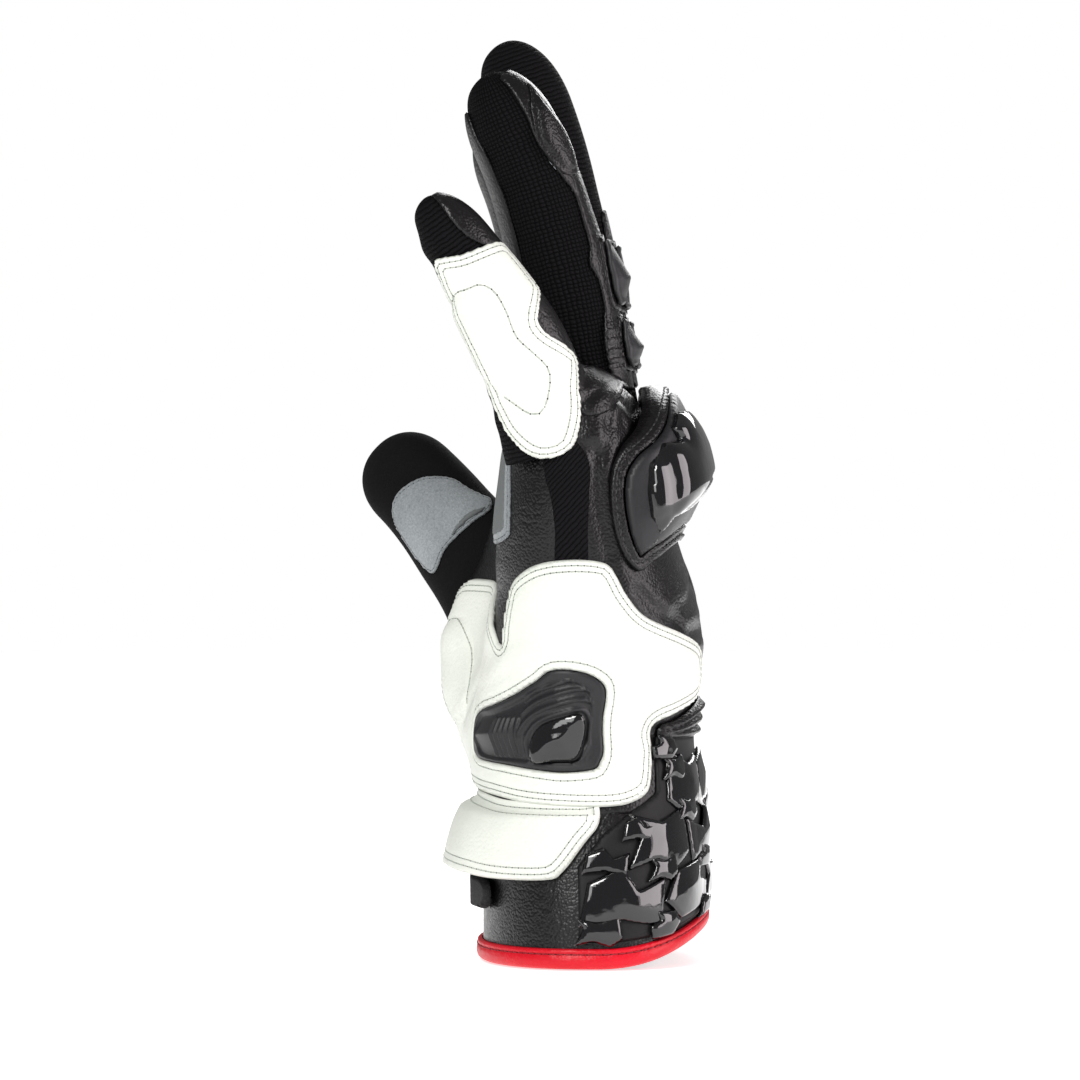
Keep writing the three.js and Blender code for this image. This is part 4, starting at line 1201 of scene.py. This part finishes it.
CUFF_GUARD = [(0.032, -97, 96), (0.15, -97, 96), (0.2, -92, 87), (0.24, -84, 72), (0.27, -60, 57), (0.365, -55, 53)]
cuff_sheet = Patch("cuff_guard_sheet", HAND, lengthwise(CUFF_GUARD), edged(0.9), 0.8, hard=True)
cuff_sheet.piece([SATIN], 0.9, stands_for=["cuff_guard"], slot="gloss")
SHARD_ROWS = [(0.095, 0.075, 76, 5), (0.19, 0.075, 57, 4), (0.285, 0.08, 34, 3)]
SHARD_SPAN = 26
# Corners of three shapes of shard, as shares of its span and height, and where its peak is.
SHARD_SHAPES = [
    (
        [(-0.5, -0.3), (-0.2, -0.55), (0.15, -0.35), (0.55, -0.5), (0.35, 0.1), (0.5, 0.45), (0.05, 0.3), (-0.4, 0.55)],
        (0.05, 0),
    ),
    (
        [(-0.55, -0.1), (-0.25, -0.5), (0.45, -0.45), (0.5, 0.05), (0.2, 0.2), (0.3, 0.55), (-0.35, 0.4)],
        (-0.1, 0.05),
    ),
    (
        [(-0.45, -0.5), (0.1, -0.3), (0.55, -0.4), (0.45, 0.3), (0.1, 0.55), (-0.1, 0.15), (-0.55, 0.35)],
        (0.1, 0.1),
    ),
]


def shard_piece(name, angle, at, span, tall, shape, turned, stands_for=()):
    corners, peak = SHARD_SHAPES[shape]
    outline = [(angle + turned * u * span, at + v * tall) for u, v in corners]
    top_of = HAND.flat(angle + turned * peak[0] * span, at + peak[1] * tall)

    def height(away, around, along):
        near = (HAND.flat(around, along) - top_of).length
        return 1.1 + 0.7 * smoothstep(away, 0, 0.7) + 1.2 * max(0, 1 - near / 11)

    Patch(name, HAND, outline, height, 0.5, hard=True).piece([GLOSS], 1.0, stands_for=stands_for, slot="gloss")


shards = 0
for at, tall, reach, count in SHARD_ROWS:
    for i in range(count):
        shards += 1
        angle = lerp(-reach, reach, i / (count - 1))
        turned = 1 if shards % 2 else -1
        node_name = f"cuff_shard_{shards}"
        shard_piece(f"shard_{shards}", angle, at, SHARD_SPAN * 1.4, tall * 1.3, shards % 3, turned, [node_name])
CHIPS = [
    (58, 0.142), (22, 0.148), (85, 0.155), (38, 0.24), (0, 0.25), (70, 0.205), (88, 0.05), (58, 0.048), (20, 0.045),
    (44, 0.31), (50, 0.345),
]
for i, (angle, at) in enumerate(CHIPS):
    for turned in (1, -1):
        side = "outer" if turned > 0 else "inner"
        if angle or turned > 0:
            shard_piece(f"chip_{i + 1}_{side}", turned * angle, at, 17, 0.045, i % 3, turned)

# The strap over the cuff, its hook patch and the binding.
STRAP = [
    (88, 0.218, 0.236, 0), (93, 0.185, 0.236, 0), (102, 0.142, 0.236, 0.02), (110, 0.128, 0.236, 0.08),
    (136, 0.128, 0.238, 0.5), (158, 0.138, 0.246, 0.9), (180, 0.144, 0.252, 1), (202, 0.146, 0.25, 0.95),
    (222, 0.146, 0.238, 0.6), (240, 0.162, 0.232, 0.2), (248, 0.185, 0.218, 0.05),
]
STRAP_THICK = 2.2
STRAP_FLARE = 8.5
STRAP_CURVE = 0.45
STRAP_TUCK = 0.018  # how far its top runs on under the heel patch
strap_row = curve_through(STRAP)


def strap_height(away, angle, at):
    low, high, flare = strap_row(angle)
    share = min(1, max(0, (at - low) / (high - low)))
    gap = STRAP_FLARE * flare * (1 - share) ** STRAP_CURVE
    top = 0.3 + gap + edged(STRAP_THICK - 0.4, channel=0.25, channels=(1.6, 3.1))(away, angle, at)
    return lerp(top, 0.5, smoothstep(at, high - STRAP_TUCK / 2, high + STRAP_TUCK / 2))


strap_outline = crosswise([(angle, low, high + STRAP_TUCK) for angle, low, high, flare in STRAP])
strap = Patch("wrist_strap_leather", HAND, strap_outline, strap_height, 0.7)
sew("strap_stitches", strap, [strap.row(1.6), strap.row(3.1)], [WHITE_THREAD, PAINTED_HOLE_SHADE], 1.7, 0.2)
strap.piece([WHITE], STRAP_THICK - 0.5, stands_for=["wrist_strap"], slot="white_leather")

HOOK_PATCH = [(150, 0.085, 0.118), (162, 0.075, 0.125), (198, 0.075, 0.125), (212, 0.085, 0.118)]
hook = Patch("hook_pile", HAND, crosswise(HOOK_PATCH), edged(3.4, roll=0.8), 0.7)
hook.piece([PILE], 2.6, stands_for=["strap_hook"], slot="hook")

# How far outside the shell and how high above the mouth the binding's fold lies, from outside to inside.
BINDING_FOLD = [
    (0, 0.3, 3.4), (0.06, 1.1, 3.3), (0.14, 1.5, 2.7), (0.2, 1.35, 2.1), (0.26, 1.6, 1.6), (0.38, 1.75, 0.5),
    (0.46, 1.4, -0.7), (0.54, 0.2, -1.5), (0.62, -1.2, -1.6), (0.7, -2.6, -1.2), (0.78, -3.3, -0.2), (0.88, -3.5, 1.4),
    (1, -2.2, 3.3),
]
binding_fold = curve_through(BINDING_FOLD)


def binding_place(u, v):
    out, up = binding_fold(v)
    pucker = 0.08 * math.sin(u * 360) * math.exp(-(((v - 0.2) / 0.08) ** 2))
    return hand(360 * u, up / BODY_LENGTH, out + pucker)


around = math.pi * (PALM_WIDTH + CUFF_DEPTH) / 2
binding = bent_grid(300, 30, binding_place, lambda u, v: (around * u, 12 * v))
new_piece("cuff_binding_leather", binding, [RED], ["cuff_binding"], "red_leather")
BINDING_ROW = 2.1 / BODY_LENGTH


class Rim:
    """The binding's outside, to be sewn on."""

    def seated(self, point):
        angle, at = HAND.unflat(point)
        place = hand(angle, at, 1.5)
        out = (hand(angle, at, 3) - place).normalized()
        return place * MM, out


rim_line = [HAND.flat(angle, BINDING_ROW) for angle in range(-178, 183, 2)]
sew("binding_stitches", Rim(), [(rim_line, False)], [RED_THREAD, PAINTED_DARK_HOLE_SHADE], 1.9, 0.2)

# Stage, light and camera.
VIEW = {"middle": (-14.8, 104), "distance": 1500, "scale": 0.26}  # px of 1080 to mm
SENSOR = 36
AMBIENT = 0.2  # how much the pale room lights the glove, as a share of its brightness


def studio():
    world = bpy.data.worlds.new("studio")
    bpy.context.scene.world = world
    world.use_nodes = True
    tree = world.node_tree
    tree.nodes["Background"].inputs[0].default_value = (1, 1, 1, 1)
    seen = tree.nodes.new("ShaderNodeLightPath").outputs["Is Camera Ray"]
    strength = maths(tree, "MULTIPLY_ADD", seen, 1 - AMBIENT, AMBIENT)
    tree.links.new(strength, tree.nodes["Background"].inputs[1])
    bm = bmesh.new()
    bmesh.ops.create_grid(bm, x_segments=2, y_segments=2, size=4.0)
    mesh = bpy.data.meshes.new("floor")
    bm.to_mesh(mesh)
    bm.free()
    floor = bpy.data.objects.new("floor", mesh)
    floor.location.z = -0.0045
    bpy.context.scene.collection.objects.link(floor)
    paint, tree, shader = new_material("floor", 0.9, Emission_Color=(1, 1, 1, 1), Emission_Strength=0.62)
    shader.inputs["Base Color"].default_value = (0.93, 0.93, 0.93, 1)
    mesh.materials.append(paint)
    for name, kind, place, size, power, colour in [
        ("key", "SUN", (-0.5, -1.1, 1.0), 0.35, 1.7, (1, 0.99, 0.97)),
        ("window", "AREA", (-0.5, -1.1, 0.5), 0.5, 3.5, (1, 1, 1)),
        ("side", "AREA", (1.25, -0.4, 0.45), 0.9, 12, (1, 0.92, 0.95)),
        ("back", "AREA", (0.3, 1.1, 0.7), 0.6, 7, (1, 1, 1)),
    ]:
        light = bpy.data.lights.new(name, kind)
        if kind == "SUN":
            light.angle = size
        else:
            light.size = size
        light.energy = power
        light.color = colour
        lamp = bpy.data.objects.new(name, light)
        lamp.location = place
        aim = Vector((-0.01, 0, 0.1)) - lamp.location
        lamp.rotation_euler = aim.to_track_quat("-Z", "Y").to_euler()
        bpy.context.scene.collection.objects.link(lamp)
    camera = bpy.data.cameras.new("camera")
    camera.sensor_width = SENSOR
    camera.lens = SENSOR * VIEW["distance"] / (VIEW["scale"] * 1080)
    eye = bpy.data.objects.new("camera", camera)
    eye.location = (VIEW["middle"][0] * MM, -VIEW["distance"] * MM, VIEW["middle"][1] * MM)
    eye.rotation_euler = (math.pi / 2, 0, 0)
    bpy.context.scene.collection.objects.link(eye)
    bpy.context.scene.camera = eye
    bpy.context.scene.view_settings.view_transform = "Standard"


studio()
